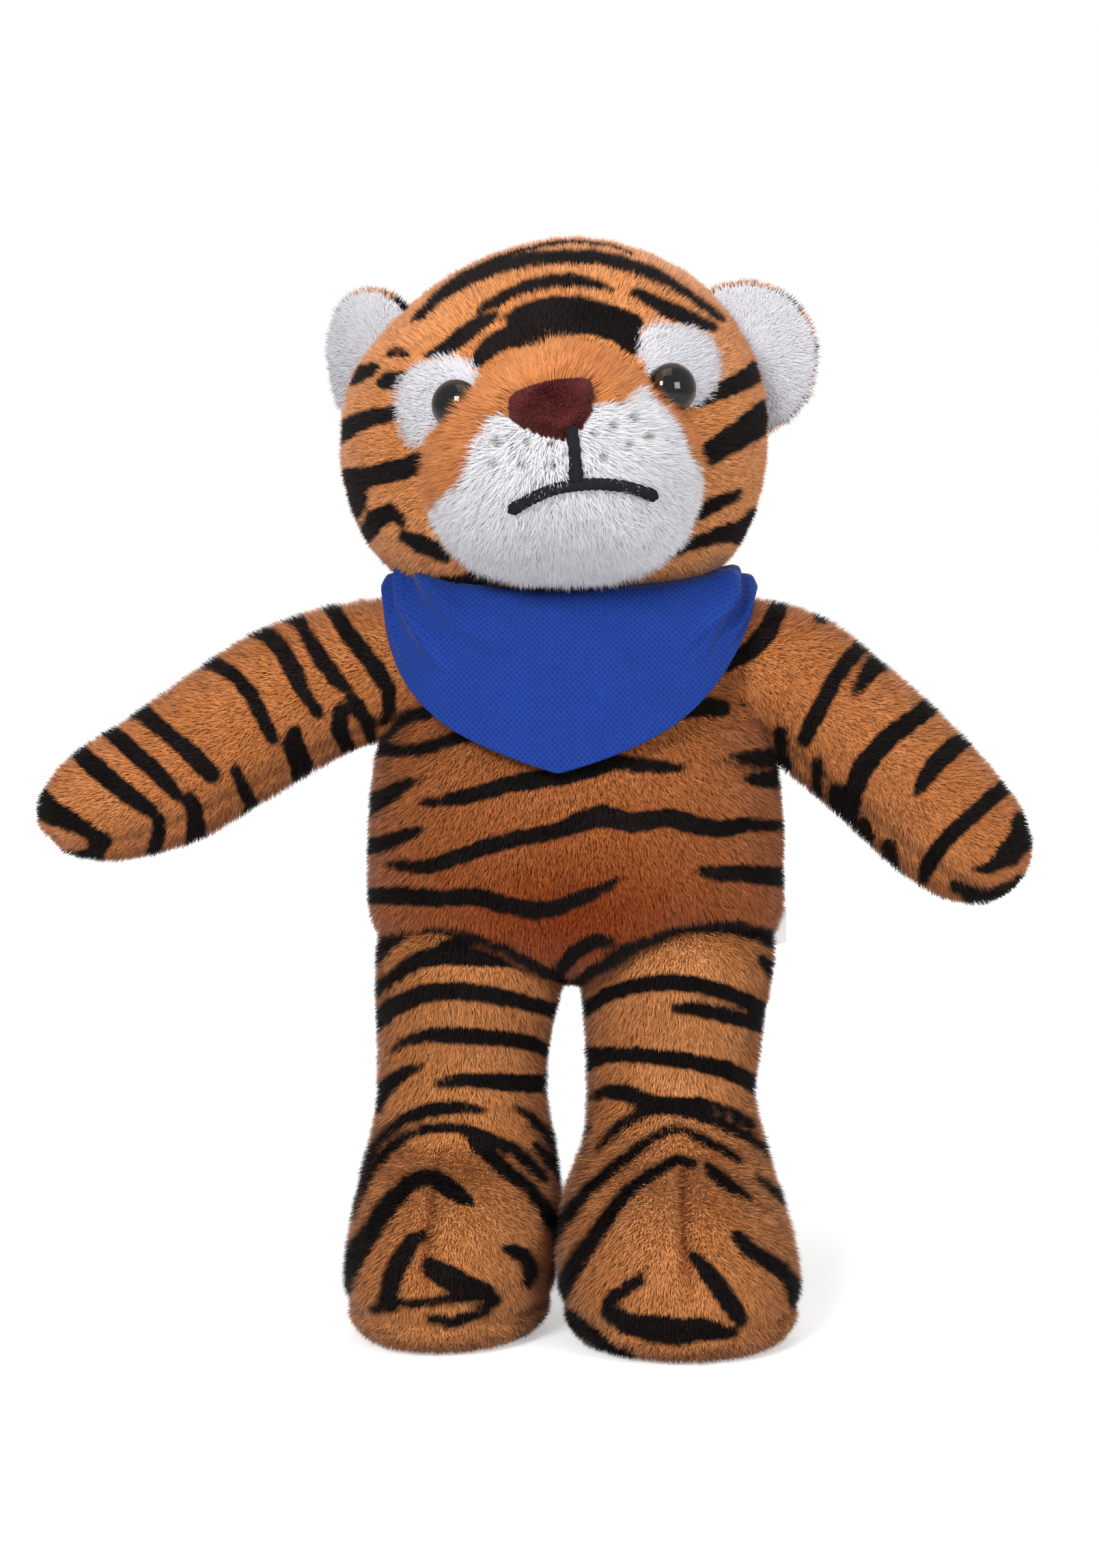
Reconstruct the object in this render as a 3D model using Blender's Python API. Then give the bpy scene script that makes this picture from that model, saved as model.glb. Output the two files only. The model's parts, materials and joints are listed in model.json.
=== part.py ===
"""A small stuffed tiger, 250 mm tall, standing on its two flat soles with a knitted neckerchief.

Every cover is a thin plush panel, open towards the stuffing inside it and parted from its
neighbours at the seams. Head, ears, arms, legs and tail each hang on an empty that stands on
their joint. Metres, +Z up, the face towards -Y. Left and right are the tiger's own, so its left
is at +X.
"""

import math

import bmesh
import bpy
from mathutils import Matrix, Vector
from mathutils.bvhtree import BVHTree

LEFT, RIGHT = 1, -1
SIDE_NAMES = {LEFT: "left", RIGHT: "right"}

# Cloth, seams and room to move
PLUSH = 0.0019
FIT = 0.00035
SWING_ROOM = 0.0003
SEWN_GAP = 0.0003
WELD = 0.0001

# Torso, which sits on the hips
HIP_Z = 0.0880
HIP_DEPTH = 0.0065
TORSO_HEIGHT = 0.0865
TORSO_WIDTH = 0.0960
TORSO_DEPTH = 0.0750
TORSO_FOOT = HIP_Z - HIP_DEPTH
TORSO_TOP = TORSO_FOOT + TORSO_HEIGHT
SIDE_SEAM_Y = 0.0040

# Head, its neck and its rest pose
NECK_GAP = 0.0020
HEAD_HEIGHT = 0.0820
HEAD_WIDTH = 0.0980
HEAD_DEPTH = 0.0800
HEAD_FOOT = TORSO_TOP + NECK_GAP
HEAD_FORWARD = 0.0030
HEAD_ASIDE = 0.0050
GUSSET_WIDTH = 0.0560
NECK_X = -0.0020
NECK_BALL = 0.0170
NECK_BALL_DEPTH = 0.0130
NECK_BALL_Z = HEAD_FOOT + NECK_BALL_DEPTH
NECK_STALK = 0.0115
NECK_SINK = 0.0080
NECK_ROOM = 0.0008
NOD_OPENING = math.radians(16)

# Muzzle, nose and mouth, with heights from the middle of the muzzle
MUZZLE_X = -0.0030
MUZZLE_HEIGHT_SHARE = 0.39
MUZZLE_Z = HEAD_FOOT + HEAD_HEIGHT * MUZZLE_HEIGHT_SHARE
MUZZLE_WIDTH = 0.0560
MUZZLE_RISE = 0.0240
MUZZLE_ROOT = 0.0240
MUZZLE_LENGTH = 0.0420
MUZZLE_LIFT = 0.0030
WHITE_SEAM_FORWARD = 0.0120
WHITE_SEAM_DROP = 0.0090
WHITE_SEAM_SLANT = math.radians(40)
NOSE_X = -0.0062
NOSE_LIFT = 0.0130
NOSE_WIDTH = 0.0165
NOSE_HEIGHT = 0.0105
NOSE_THICK = 0.0070
NOSE_ROLL = math.radians(16)
STITCH = 0.0010
MOUTH_X = -0.0008
MOUTH_DROP = 0.0024
MOUTH_WIDTH = 0.0296
MOUTH_SAG = 0.0055
UPRIGHT_LENGTH = 0.0090
UPRIGHT_LEAN = 0.0013

# Eyes: a dome on a stem that a washer holds from inside
EYE_DOME = 0.0050
EYE_BULGE = 0.0040
EYE_STEM = 0.0013
STEM_LENGTH = 0.0085
WASHER_RADIUS = 0.0060
WASHER_THICK = 0.0011
WASHER_RECESS = 0.0016
PATCH_RADIUS = 0.0092
PATCH_THICK = 0.0018
# Across the head and up it
EYE_SHARES = {RIGHT: (-0.282, 0.568), LEFT: (0.221, 0.617)}
PATCH_SHARES = {RIGHT: (-0.306, 0.561), LEFT: (0.233, 0.637)}

# Ears
EAR_HEIGHT = 0.0350
EAR_REACH = 0.0165
EAR_THICK = 0.0075
EAR_PLACE_SHARES = {RIGHT: (-0.469, 0.0625, 0.646), LEFT: (0.393, 0.0625, 0.665)}
EAR_LEANS = {RIGHT: math.radians(-10), LEFT: math.radians(22)}
EAR_TURNS = {RIGHT: math.radians(-38), LEFT: math.radians(-8)}
EAR_SWING = (math.radians(-10), math.radians(15))
EAR_INSET = 0.0035

# Arms, with the line of each from its shoulder outwards and down
SHOULDER_INSET = 0.0100
SHOULDER_DROP = 0.0140
SHOULDER_RADIUS = 0.0163
ARM_LENGTH = 0.0900
ARM_THICK = 0.0350
ARM_DEPTH = 0.0332
ARM_SEAM_TURN = math.radians(42)
ARM_SWINGS = {
    RIGHT: (math.radians(-10), math.radians(18)),
    LEFT: (math.radians(-6), math.radians(24)),
}

# Legs and feet
HIP_RADIUS = 0.0202
HIP_SHARES = {RIGHT: -0.276, LEFT: 0.2344}
LEG_WIDTH = 0.0400
FOOT_WIDTHS = {RIGHT: 0.0490, LEFT: 0.0530}
FOOT_LENGTH = 0.0670
FEET_SPLAY = {RIGHT: 0.0005, LEFT: 0.0020}
FEET_BACK = {RIGHT: 0.0060, LEFT: -0.0020}
FOOT_TURNS = {RIGHT: math.radians(9), LEFT: 0}
SOLE_RISE = 0.0085
PELLET_DEPTH = 0.0170
LEG_SWING = (math.radians(-10), math.radians(18))

# Tail
TAIL_RADIUS = 0.0060
TAIL_LENGTH = 0.0720
TAIL_HEIGHT_SHARE = 0.283

# Neckerchief and care label
SCARF_THICK = 0.0011
SCARF_SIDE_INSET = 0.0055
SCARF_NECK_X = 0.0285
SCARF_NECK_Y = 0.0235
SCARF_NECK_DROP = 0.0008
SCARF_NECK_RISE = 0.0022
SCARF_SIDE_LIFT = 0.0072
SCARF_FRONT_GAP = 0.0010
SCARF_FRONT_DROP = 0.0345
SCARF_BACK_INSET = 0.0050
SCARF_BACK_DROP = 0.0120
KNOT_WIDTH = 0.0150
KNOT_HEIGHT = 0.0110
KNOT_THICK = 0.0070
KNOT_RISE = 0.0035
LABEL_HEIGHT = 0.0085
LABEL_LENGTH = 0.0110
LABEL_THICK = 0.0007
LABEL_HEIGHT_SHARE = 0.120
LABEL_OUT = 0.0028
LABEL_TURN = math.radians(62)

# Outlines as shares: height up the piece, then width and depth there
TORSO_SHARES = (
    (0.000, 0.36, 0.36),
    (0.040, 0.64, 0.63),
    (0.120, 0.88, 0.84),
    (0.250, 0.985, 0.97),
    (0.430, 1.00, 1.00),
    (0.600, 0.97, 0.955),
    (0.750, 0.89, 0.86),
    (0.870, 0.765, 0.745),
    (0.945, 0.58, 0.58),
    (0.990, 0.36, 0.38),
)
# Height, width, depth and how much of the sideways lean applies
HEAD_SHARES = (
    (0.000, 0.30, 0.32, 0.75),
    (0.025, 0.53, 0.55, 0.85),
    (0.078, 0.745, 0.77, 0.95),
    (0.175, 0.89, 0.91, 1.00),
    (0.310, 0.975, 0.98, 1.05),
    (0.460, 1.00, 1.00, 1.00),
    (0.615, 0.960, 0.97, 0.90),
    (0.755, 0.82, 0.86, 0.60),
    (0.860, 0.65, 0.70, 0.35),
    (0.945, 0.41, 0.45, 0.20),
    (0.995, 0.15, 0.17, 0.12),
)
# Way forward, size there
MUZZLE_SHARES = (
    (0.00, 1.00),
    (0.28, 0.98),
    (0.52, 0.89),
    (0.72, 0.735),
    (0.88, 0.51),
    (0.97, 0.27),
    (1.00, 0.09),
)
MUZZLE_CROWN_SHARE, MUZZLE_JOWL_SHARE = 1.75, 2.25
# Outwards, upwards and half thickness along each arm
ARM_SHARES = {
    RIGHT: (
        (0.135, -0.018, 0.97),
        (0.280, -0.066, 1.01),
        (0.470, -0.182, 1.00),
        (0.668, -0.304, 0.94),
        (0.792, -0.352, 0.83),
        (0.885, -0.380, 0.62),
        (0.946, -0.392, 0.24),
    ),
    LEFT: (
        (0.112, -0.028, 0.97),
        (0.240, -0.128, 0.99),
        (0.401, -0.268, 0.98),
        (0.546, -0.412, 0.93),
        (0.625, -0.485, 0.81),
        (0.672, -0.530, 0.60),
        (0.702, -0.560, 0.24),
    ),
}
# Height of the leg, then width, depth, and how far forward its middle is
LEG_SHARES = ((0.73, 0.99, 1.00, 0.00), (0.60, 1.01, 1.07, 0.035))
FOOT_SHARES = (
    (0.530, 0.87, 0.76, 0.09),
    (0.460, 0.925, 0.88, 0.155),
    (0.350, 0.975, 0.965, 0.21),
    (0.220, 1.00, 1.00, 0.225),
    (0.095, 0.975, 0.975, 0.22),
    (0.035, 0.90, 0.91, 0.21),
    (0.000, 0.72, 0.74, 0.20),
)
# Sideways, backwards and downwards along the tail, then its thickness
TAIL_SHARES = (
    (0.00, 0.00, 0.00, 0.85),
    (-0.01, 0.09, -0.04, 0.95),
    (-0.06, 0.16, -0.16, 1.00),
    (-0.16, 0.17, -0.35, 1.00),
    (-0.29, 0.12, -0.54, 0.95),
    (-0.38, 0.05, -0.73, 0.88),
    (-0.41, 0.02, -0.83, 0.70),
    (-0.42, 0.01, -0.88, 0.32),
)
# Way down the cloth, and how far out it has spread there
SCARF_SHARES = ((0.00, 0.00), (0.24, 0.46), (0.58, 0.82), (1.00, 1.00))
SCARF_CORNER_SHARE = 2.6
SCARF_POINT_SHARE = 1.55
DOME_SHARES = (0.38, 0.70, 0.92)
CAP_SHARE = 0.995

TORSO_SEGMENTS, HEAD_SEGMENTS, MUZZLE_SEGMENTS = 18, 18, 14
LIMB_SEGMENTS, SMALL_SEGMENTS, SCARF_SEGMENTS = 12, 8, 28
PATCH_SEGMENTS, TAIL_SEGMENTS = 16, 10
BALL_STEPS, EYE_STEPS, BOW_STEPS, UPRIGHT_STEPS = 8, 4, 5, 3

GOLD_PLUSH = (0.55, 0.22, 0.06)
ORANGE_PLUSH = (0.69, 0.20, 0.045)
WHITE_PLUSH = (0.80, 0.79, 0.81)
FIBRE = (0.88, 0.88, 0.86)
PELLETS = (0.75, 0.76, 0.78)
BLUE_KNIT = (0.012, 0.070, 0.400)
NOSE_FLOCK = (0.070, 0.013, 0.010)
BLACK_THREAD = (0.010, 0.009, 0.010)
EYE_PLASTIC = (0.030, 0.012, 0.006)
WASHER_PLASTIC = (0.80, 0.80, 0.78)


for old in list(bpy.data.objects):
    bpy.data.objects.remove(old)


def finish(name, colour, roughness=0.9):
    material = bpy.data.materials.new(name)
    material.use_nodes = True
    shader = material.node_tree.nodes["Principled BSDF"]
    shader.inputs["Base Color"].default_value = (*colour, 1)
    shader.inputs["Roughness"].default_value = roughness
    shader.inputs["Metallic"].default_value = 0
    return material


def carried(made, carrier):
    """Hangs an object on an empty and leaves it where it is drawn."""
    made.parent = carrier
    made.location -= Vector(carrier["place"])


def joint_empty(name, place, parent=None):
    """An empty on a joint, which carries what moves with it."""
    empty = bpy.data.objects.new(name, None)
    bpy.context.scene.collection.objects.link(empty)
    empty["place"] = tuple(place)
    empty.location = Vector(place)
    if parent:
        carried(empty, parent)
    return empty


stand = joint_empty("stand", (0, 0, 0))


def piece(name, bm, carrier=stand, colour=None, roughness=0.9):
    """The object made from a bmesh that is drawn in the tiger's own frame."""
    bmesh.ops.recalc_face_normals(bm, faces=bm.faces[:])
    mesh = bpy.data.meshes.new(name)
    bm.to_mesh(mesh)
    bm.free()
    mesh.shade_smooth()
    made = bpy.data.objects.new(name, mesh)
    bpy.context.scene.collection.objects.link(made)
    carried(made, carrier)
    if colour:
        mesh.materials.append(finish(name + "_finish", colour, roughness))
    return made


def hidden(made):
    """Marks an object as a cutter, which is no piece of the tiger."""
    made.hide_render = True
    made.display_type = "WIRE"
    return made


def boolean(target, other, operation="DIFFERENCE"):
    cut = target.modifiers.new(other.name, "BOOLEAN")
    cut.operation = operation
    cut.object = other


def loft(rings, segments, crown=2, base=2):
    """A closed form through rings of (middle, first half axis, second half axis).

    The exponents square off or peak the rings above and below their first axis.
    """
    bm = bmesh.new()
    bmesh.ops.create_circle(bm, segments=segments, radius=1)
    ring = {vert: vert.co.copy() for vert in bm.verts}
    for number, (middle, across, along) in enumerate(rings):
        if number:
            edges = [e for e in bm.edges if all(v in ring for v in e.verts)]
            made = bmesh.ops.extrude_edge_only(bm, edges=edges)["geom"]
            fresh = {}
            for vert in made:
                if not isinstance(vert, bmesh.types.BMVert):
                    continue
                old = next(e.other_vert(vert) for e in vert.link_edges if e.other_vert(vert) in ring)
                fresh[vert] = ring[old]
            ring = fresh
        for vert, unit in ring.items():
            power = 2 / (crown if unit.y > 0 else base)
            first = math.copysign(abs(unit.x) ** power, unit.x)
            second = math.copysign(abs(unit.y) ** power, unit.y)
            vert.co = Vector(middle) + Vector(across) * first + Vector(along) * second
    rims = [e for e in bm.edges if e.is_boundary]
    bmesh.ops.holes_fill(bm, edges=rims, sides=segments)
    bmesh.ops.recalc_face_normals(bm, faces=bm.faces[:])
    bmesh.ops.triangulate(bm, faces=bm.faces[:])
    bm.normal_update()
    outward = bm.verts.layers.float_vector.new("outward")
    for vert in bm.verts:
        vert[outward] = vert.normal
    return bm


def grown(form, distance):
    """A copy of a form with its surface moved outwards, or inwards if the distance is negative."""
    bm = form.copy()
    outward = bm.verts.layers.float_vector["outward"]
    for vert in bm.verts:
        vert.co += vert[outward] * distance
    return bm


def trimmed(bm, planes):
    """Cuts away what lies behind each plane of (point, normal) and leaves the cuts open."""
    for point, normal in planes:
        whole = bm.verts[:] + bm.edges[:] + bm.faces[:]
        way = Vector(normal).normalized()
        start = Vector(point) + way * FIT / 2
        bmesh.ops.bisect_plane(bm, geom=whole, plane_co=start, plane_no=way, clear_inner=True)
    return bm


def panel(form, planes, thickness=PLUSH):
    """The part of a form's wall in front of the planes, as a sheet of plush."""
    bm = trimmed(form.copy(), planes)
    outward = bm.verts.layers.float_vector["outward"]
    made = bmesh.ops.extrude_face_region(bm, geom=bm.faces[:], use_keep_orig=True)["geom"]
    for vert in made:
        if isinstance(vert, bmesh.types.BMVert):
            vert.co -= vert[outward] * thickness
    return bm


def block(form, planes):
    """The part of a solid form in front of the planes, closed at the cuts."""
    bm = form
    for plane in planes:
        trimmed(bm, [plane])
        bmesh.ops.holes_fill(bm, edges=[e for e in bm.edges if e.is_boundary], sides=0)
    return bm


def turned(profile, segments, frame):
    """A solid turned about its own Z from (radius, height) points, then placed by a matrix."""
    bm = bmesh.new()
    verts = [bm.verts.new((radius, 0, height)) for radius, height in profile]
    edges = [bm.edges.new(pair) for pair in zip(verts, verts[1:])]
    bmesh.ops.spin(
        bm,
        geom=verts + edges,
        cent=(0, 0, 0),
        axis=(0, 0, 1),
        angle=math.tau,
        steps=segments,
        use_merge=True,
    )
    bmesh.ops.remove_doubles(bm, verts=bm.verts[:], dist=WELD)
    bmesh.ops.holes_fill(bm, edges=[e for e in bm.edges if e.is_boundary], sides=0)
    bmesh.ops.transform(bm, matrix=frame, verts=bm.verts[:])
    return bm


def swing_room(name, start, way, axis, swing, length, radius):
    """A cutter for what a round-ended limb passes through between its two limits about an axis."""
    low, high = swing
    half = (high - low) / 2
    radius /= math.cos(math.pi / LIMB_SEGMENTS)
    way = (Matrix.Rotation((low + high) / 2, 3, axis) @ Vector(way)).normalized()
    aside = Vector(axis).cross(way).normalized()
    rings = []
    for share in [-share for share in (CAP_SHARE, *reversed(DOME_SHARES))] + [0, 1]:
        run = radius * share if share < 1 else length
        dome = radius * math.sqrt(max(1 - share**2, 0)) if share < 0 else radius
        spread = radius / math.cos(half) + run * math.tan(half)
        wide = max(dome, spread) if run > -radius * math.sin(half) else dome
        rings.append((start + way * run, Vector(axis) * dome, aside * wide))
    return hidden(piece(name, loft(rings, LIMB_SEGMENTS)))


def facing(surface, x, z):
    """The point of a surface seen at x and z from the front, and the way it faces there."""
    place, normal, _, _ = surface.ray_cast(Vector((x, -TORSO_HEIGHT * 2, z)), Vector((0, 1, 0)))
    return place, normal


def frame_at(place, way):
    """A frame at a place with its own Z along a way and its own Y as upright as that allows."""
    way = Vector(way).normalized()
    across = Vector((0, 0, 1)).cross(way).normalized()
    up = way.cross(across)
    return Matrix.Translation(place) @ Matrix((across, up, way)).transposed().to_4x4()


def stitch(name, points, carrier):
    """A thread that lies on the cloth along some points."""
    curve = bpy.data.curves.new(name, "CURVE")
    curve.dimensions = "3D"
    curve.bevel_depth = STITCH
    curve.bevel_resolution = 1
    curve.use_fill_caps = True
    spline = curve.splines.new("POLY")
    spline.points.add(len(points) - 1)
    for point, place in zip(spline.points, points):
        point.co = (*place, 1)
    curve.materials.append(finish(name + "_finish", BLACK_THREAD))
    made = bpy.data.objects.new(name, curve)
    bpy.context.scene.collection.objects.link(made)
    carried(made, carrier)
    return made


# The empties on the joints
neck_place = Vector((NECK_X, 0, NECK_BALL_Z))
torso = joint_empty("torso", (0, 0, TORSO_FOOT), stand)
neck = joint_empty("neck", (NECK_X, 0, TORSO_TOP), torso)
head = joint_empty("head", neck_place, neck)

# Torso: a front panel, two back panels closed by hand, and the stuffing
torso_form = loft(
    [
        (
            (0, 0, TORSO_FOOT + TORSO_HEIGHT * height),
            (TORSO_WIDTH / 2 * wide, 0, 0),
            (0, TORSO_DEPTH / 2 * deep, 0),
        )
        for height, wide, deep in TORSO_SHARES
    ],
    TORSO_SEGMENTS,
)
side_seam = (0, SIDE_SEAM_Y, 0)
torso_pieces = [
    piece("torso_front_panel", panel(torso_form, [(side_seam, (0, -1, 0))]), torso, GOLD_PLUSH),
    piece("torso_stuffing", grown(torso_form, -PLUSH - FIT), torso, FIBRE),
]
for side, name in SIDE_NAMES.items():
    cuts = [(side_seam, (0, 1, 0)), ((0, 0, 0), (side, 0, 0))]
    torso_pieces.append(piece(f"torso_back_{name}_panel", panel(torso_form, cuts), torso, GOLD_PLUSH))


# Neck: a ball of stuffing on a short stalk, which turns in the torso and nods in the head
def ball_and_stalk(room):
    """The neck's outline, or with some room the hollow that it turns in."""
    ball, stalk = NECK_BALL + room, NECK_STALK + room
    low = math.asin(stalk / ball)
    turns = [low + (math.pi - low) * step / BALL_STEPS for step in range(BALL_STEPS + 1)]
    foot = TORSO_TOP - NECK_SINK - room - NECK_BALL_Z
    arc = [(ball * math.sin(turn), -ball * math.cos(turn)) for turn in turns]
    return [(0, foot), (stalk, foot)] + arc[:-1] + [(0, ball)]


neck_frame = Matrix.Translation(neck_place)
piece("neck_stuffing", turned(ball_and_stalk(0), LIMB_SEGMENTS, neck_frame), neck, FIBRE)
neck_room = hidden(piece("neck_room", turned(ball_and_stalk(NECK_ROOM), LIMB_SEGMENTS, neck_frame)))
stalk_gap = [
    (0, -NECK_BALL * 2),
    (NECK_STALK + NECK_BALL * 2 * math.tan(NOD_OPENING), -NECK_BALL * 2),
    (NECK_STALK, 0),
    (0, 0),
]
nod_room = hidden(piece("nod_room", turned(stalk_gap, LIMB_SEGMENTS, neck_frame)))

# Head: a gusset from the brow over the crown, two cheek panels, and the stuffing
head_form = loft(
    [
        (
            (-HEAD_ASIDE * lean, -HEAD_FORWARD, HEAD_FOOT + HEAD_HEIGHT * height),
            (HEAD_WIDTH / 2 * wide, 0, 0),
            (0, HEAD_DEPTH / 2 * deep, 0),
        )
        for height, wide, deep, lean in HEAD_SHARES
    ],
    HEAD_SEGMENTS,
)
head_surface = BVHTree.FromBMesh(head_form)
head_middle_x = -HEAD_ASIDE
head_mid_z = HEAD_FOOT + HEAD_HEIGHT / 2
seams = {
    side: ((head_middle_x + side * GUSSET_WIDTH / 2, 0, head_mid_z), (side, 0, 0))
    for side in SIDE_NAMES
}
gusset_cuts = [(point, -Vector(way)) for point, way in seams.values()]
head_covers = [piece("head_gusset_panel", panel(head_form, gusset_cuts), head, GOLD_PLUSH)]
for side, name in SIDE_NAMES.items():
    head_covers.append(piece(f"head_{name}_panel", panel(head_form, [seams[side]]), head, GOLD_PLUSH))
head_stuffing = piece("head_stuffing", grown(head_form, -PLUSH - FIT), head, FIBRE)
for cover in [*head_covers, head_stuffing]:
    boolean(cover, neck_room)
    boolean(cover, nod_room)
for cover in torso_pieces:
    boolean(cover, neck_room)
head_room = hidden(piece("head_room", grown(head_form, FIT)))

# Muzzle: an orange bridge, a white snout with the chin, and the stuffing
muzzle_form = loft(
    [
        (
            (
                MUZZLE_X,
                -MUZZLE_ROOT - MUZZLE_LENGTH * forward,
                MUZZLE_Z + MUZZLE_LIFT * forward,
            ),
            (MUZZLE_WIDTH / 2 * size, 0, 0),
            (0, 0, MUZZLE_RISE * size),
        )
        for forward, size in MUZZLE_SHARES
    ],
    MUZZLE_SEGMENTS,
    crown=MUZZLE_CROWN_SHARE,
    base=MUZZLE_JOWL_SHARE,
)
muzzle_surface = BVHTree.FromBMesh(muzzle_form)
white_way = Vector((0, -math.sin(WHITE_SEAM_SLANT), -math.cos(WHITE_SEAM_SLANT)))
white_seam = (0, -MUZZLE_ROOT - WHITE_SEAM_FORWARD, MUZZLE_Z - WHITE_SEAM_DROP)
muzzle_pieces = [
    piece("muzzle_bridge_panel", panel(muzzle_form, [(white_seam, -white_way)]), head, ORANGE_PLUSH),
    piece("muzzle_white_panel", panel(muzzle_form, [(white_seam, white_way)]), head, WHITE_PLUSH),
    piece("muzzle_stuffing", grown(muzzle_form, -PLUSH - FIT), head, FIBRE),
]
for made in muzzle_pieces:
    boolean(made, head_room)
muzzle_room = hidden(piece("muzzle_room", grown(muzzle_form, FIT)))

# Nose: a flocked three-cornered pad
nose_place, nose_way = facing(muzzle_surface, NOSE_X, MUZZLE_Z + NOSE_LIFT)
nose_frame = frame_at(nose_place, nose_way) @ Matrix.Rotation(NOSE_ROLL, 4, "Z")
nose_form = bmesh.new()
bmesh.ops.create_uvsphere(nose_form, u_segments=LIMB_SEGMENTS, v_segments=SMALL_SEGMENTS, radius=1)
for vert in nose_form.verts:
    narrowing = 1 + vert.co.y / 2 if vert.co.y < 0 else 1
    vert.co = Vector(
        (
            vert.co.x * NOSE_WIDTH / 2 * narrowing,
            vert.co.y * NOSE_HEIGHT / 2,
            vert.co.z * NOSE_THICK / 2,
        )
    )
bmesh.ops.transform(nose_form, matrix=nose_frame, verts=nose_form.verts[:])
nose = piece("nose", nose_form, head, NOSE_FLOCK)
boolean(nose, muzzle_room)

# Mouth: a bow and an upright of thick black thread
lift = STITCH + FIT


def on_muzzle(x, z):
    place, way = facing(muzzle_surface, x, z)
    return place + way * lift


mouth_z = MUZZLE_Z - MOUTH_DROP
bow = []
for step in range(-BOW_STEPS, BOW_STEPS + 1):
    share = step / BOW_STEPS
    bow.append(on_muzzle(MOUTH_X + MOUTH_WIDTH / 2 * share, mouth_z - MOUTH_SAG * share**2))
stitch("mouth_bow", bow, head)
foot_z = mouth_z + STITCH * 2 + FIT
upright = []
for step in range(UPRIGHT_STEPS + 1):
    share = step / UPRIGHT_STEPS
    upright.append(on_muzzle(MOUTH_X - UPRIGHT_LEAN * share, foot_z + UPRIGHT_LENGTH * share))
stitch("mouth_upright", upright, head)



def on_head(shares):
    """The place on the front of the head at some shares of its width and height, and its way."""
    across, up = shares
    return facing(head_surface, HEAD_WIDTH * across, HEAD_FOOT + HEAD_HEIGHT * up)


# Eyes: white patches, domes on stems, and the washers that hold them inside
patch_inside = hidden(piece("patch_inside", grown(head_form, FIT)))
patch_outside = hidden(piece("patch_outside", grown(head_form, FIT + PATCH_THICK)))
for side, name in SIDE_NAMES.items():
    frame = frame_at(*on_head(EYE_SHARES[side]))
    patch_frame = frame_at(*on_head(PATCH_SHARES[side]))
    half = PATCH_RADIUS / 2
    disc = [(0, -half), (PATCH_RADIUS, -half), (PATCH_RADIUS, half), (0, half)]
    patch = piece(f"eye_patch_{name}", turned(disc, PATCH_SEGMENTS, patch_frame), head, WHITE_PLUSH)
    boolean(patch, patch_outside, "INTERSECT")
    boolean(patch, patch_inside)
    boolean(patch, muzzle_room)

    seat = FIT + PATCH_THICK + FIT
    dome = [(0, seat - STEM_LENGTH), (EYE_STEM, seat - STEM_LENGTH), (EYE_STEM, seat)]
    for step in range(EYE_STEPS):
        turn = math.pi / 2 * step / EYE_STEPS
        dome.append((EYE_DOME * math.cos(turn), seat + EYE_BULGE * math.sin(turn)))
    dome.append((0, seat + EYE_BULGE))
    piece(f"eye_{name}", turned(dome, LIMB_SEGMENTS, frame), head, EYE_PLASTIC, roughness=0.12)

    stem_room = EYE_STEM + FIT
    hole = [(0, -STEM_LENGTH), (stem_room, -STEM_LENGTH), (stem_room, STEM_LENGTH), (0, STEM_LENGTH)]
    stem_hole = hidden(piece(f"stem_hole_{name}", turned(hole, SMALL_SEGMENTS, frame)))
    washer_top = -PLUSH - WASHER_RECESS
    washer_low = washer_top - WASHER_THICK
    ring = [
        (stem_room, washer_low),
        (WASHER_RADIUS, washer_low),
        (WASHER_RADIUS, washer_top),
        (stem_room, washer_top),
        (stem_room, washer_low),
    ]
    piece(f"eye_washer_{name}", turned(ring, LIMB_SEGMENTS, frame), head, WASHER_PLASTIC, roughness=0.5)
    pocket_low = washer_low - FIT
    wide = WASHER_RADIUS + FIT * 2
    pocket = [(0, pocket_low), (wide, pocket_low), (wide, 0), (0, 0)]
    washer_pocket = hidden(piece(f"washer_pocket_{name}", turned(pocket, LIMB_SEGMENTS, frame)))
    boolean(patch, stem_hole)
    for cover in head_covers:
        boolean(cover, stem_hole)
    boolean(head_stuffing, stem_hole)
    boolean(head_stuffing, washer_pocket)

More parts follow.
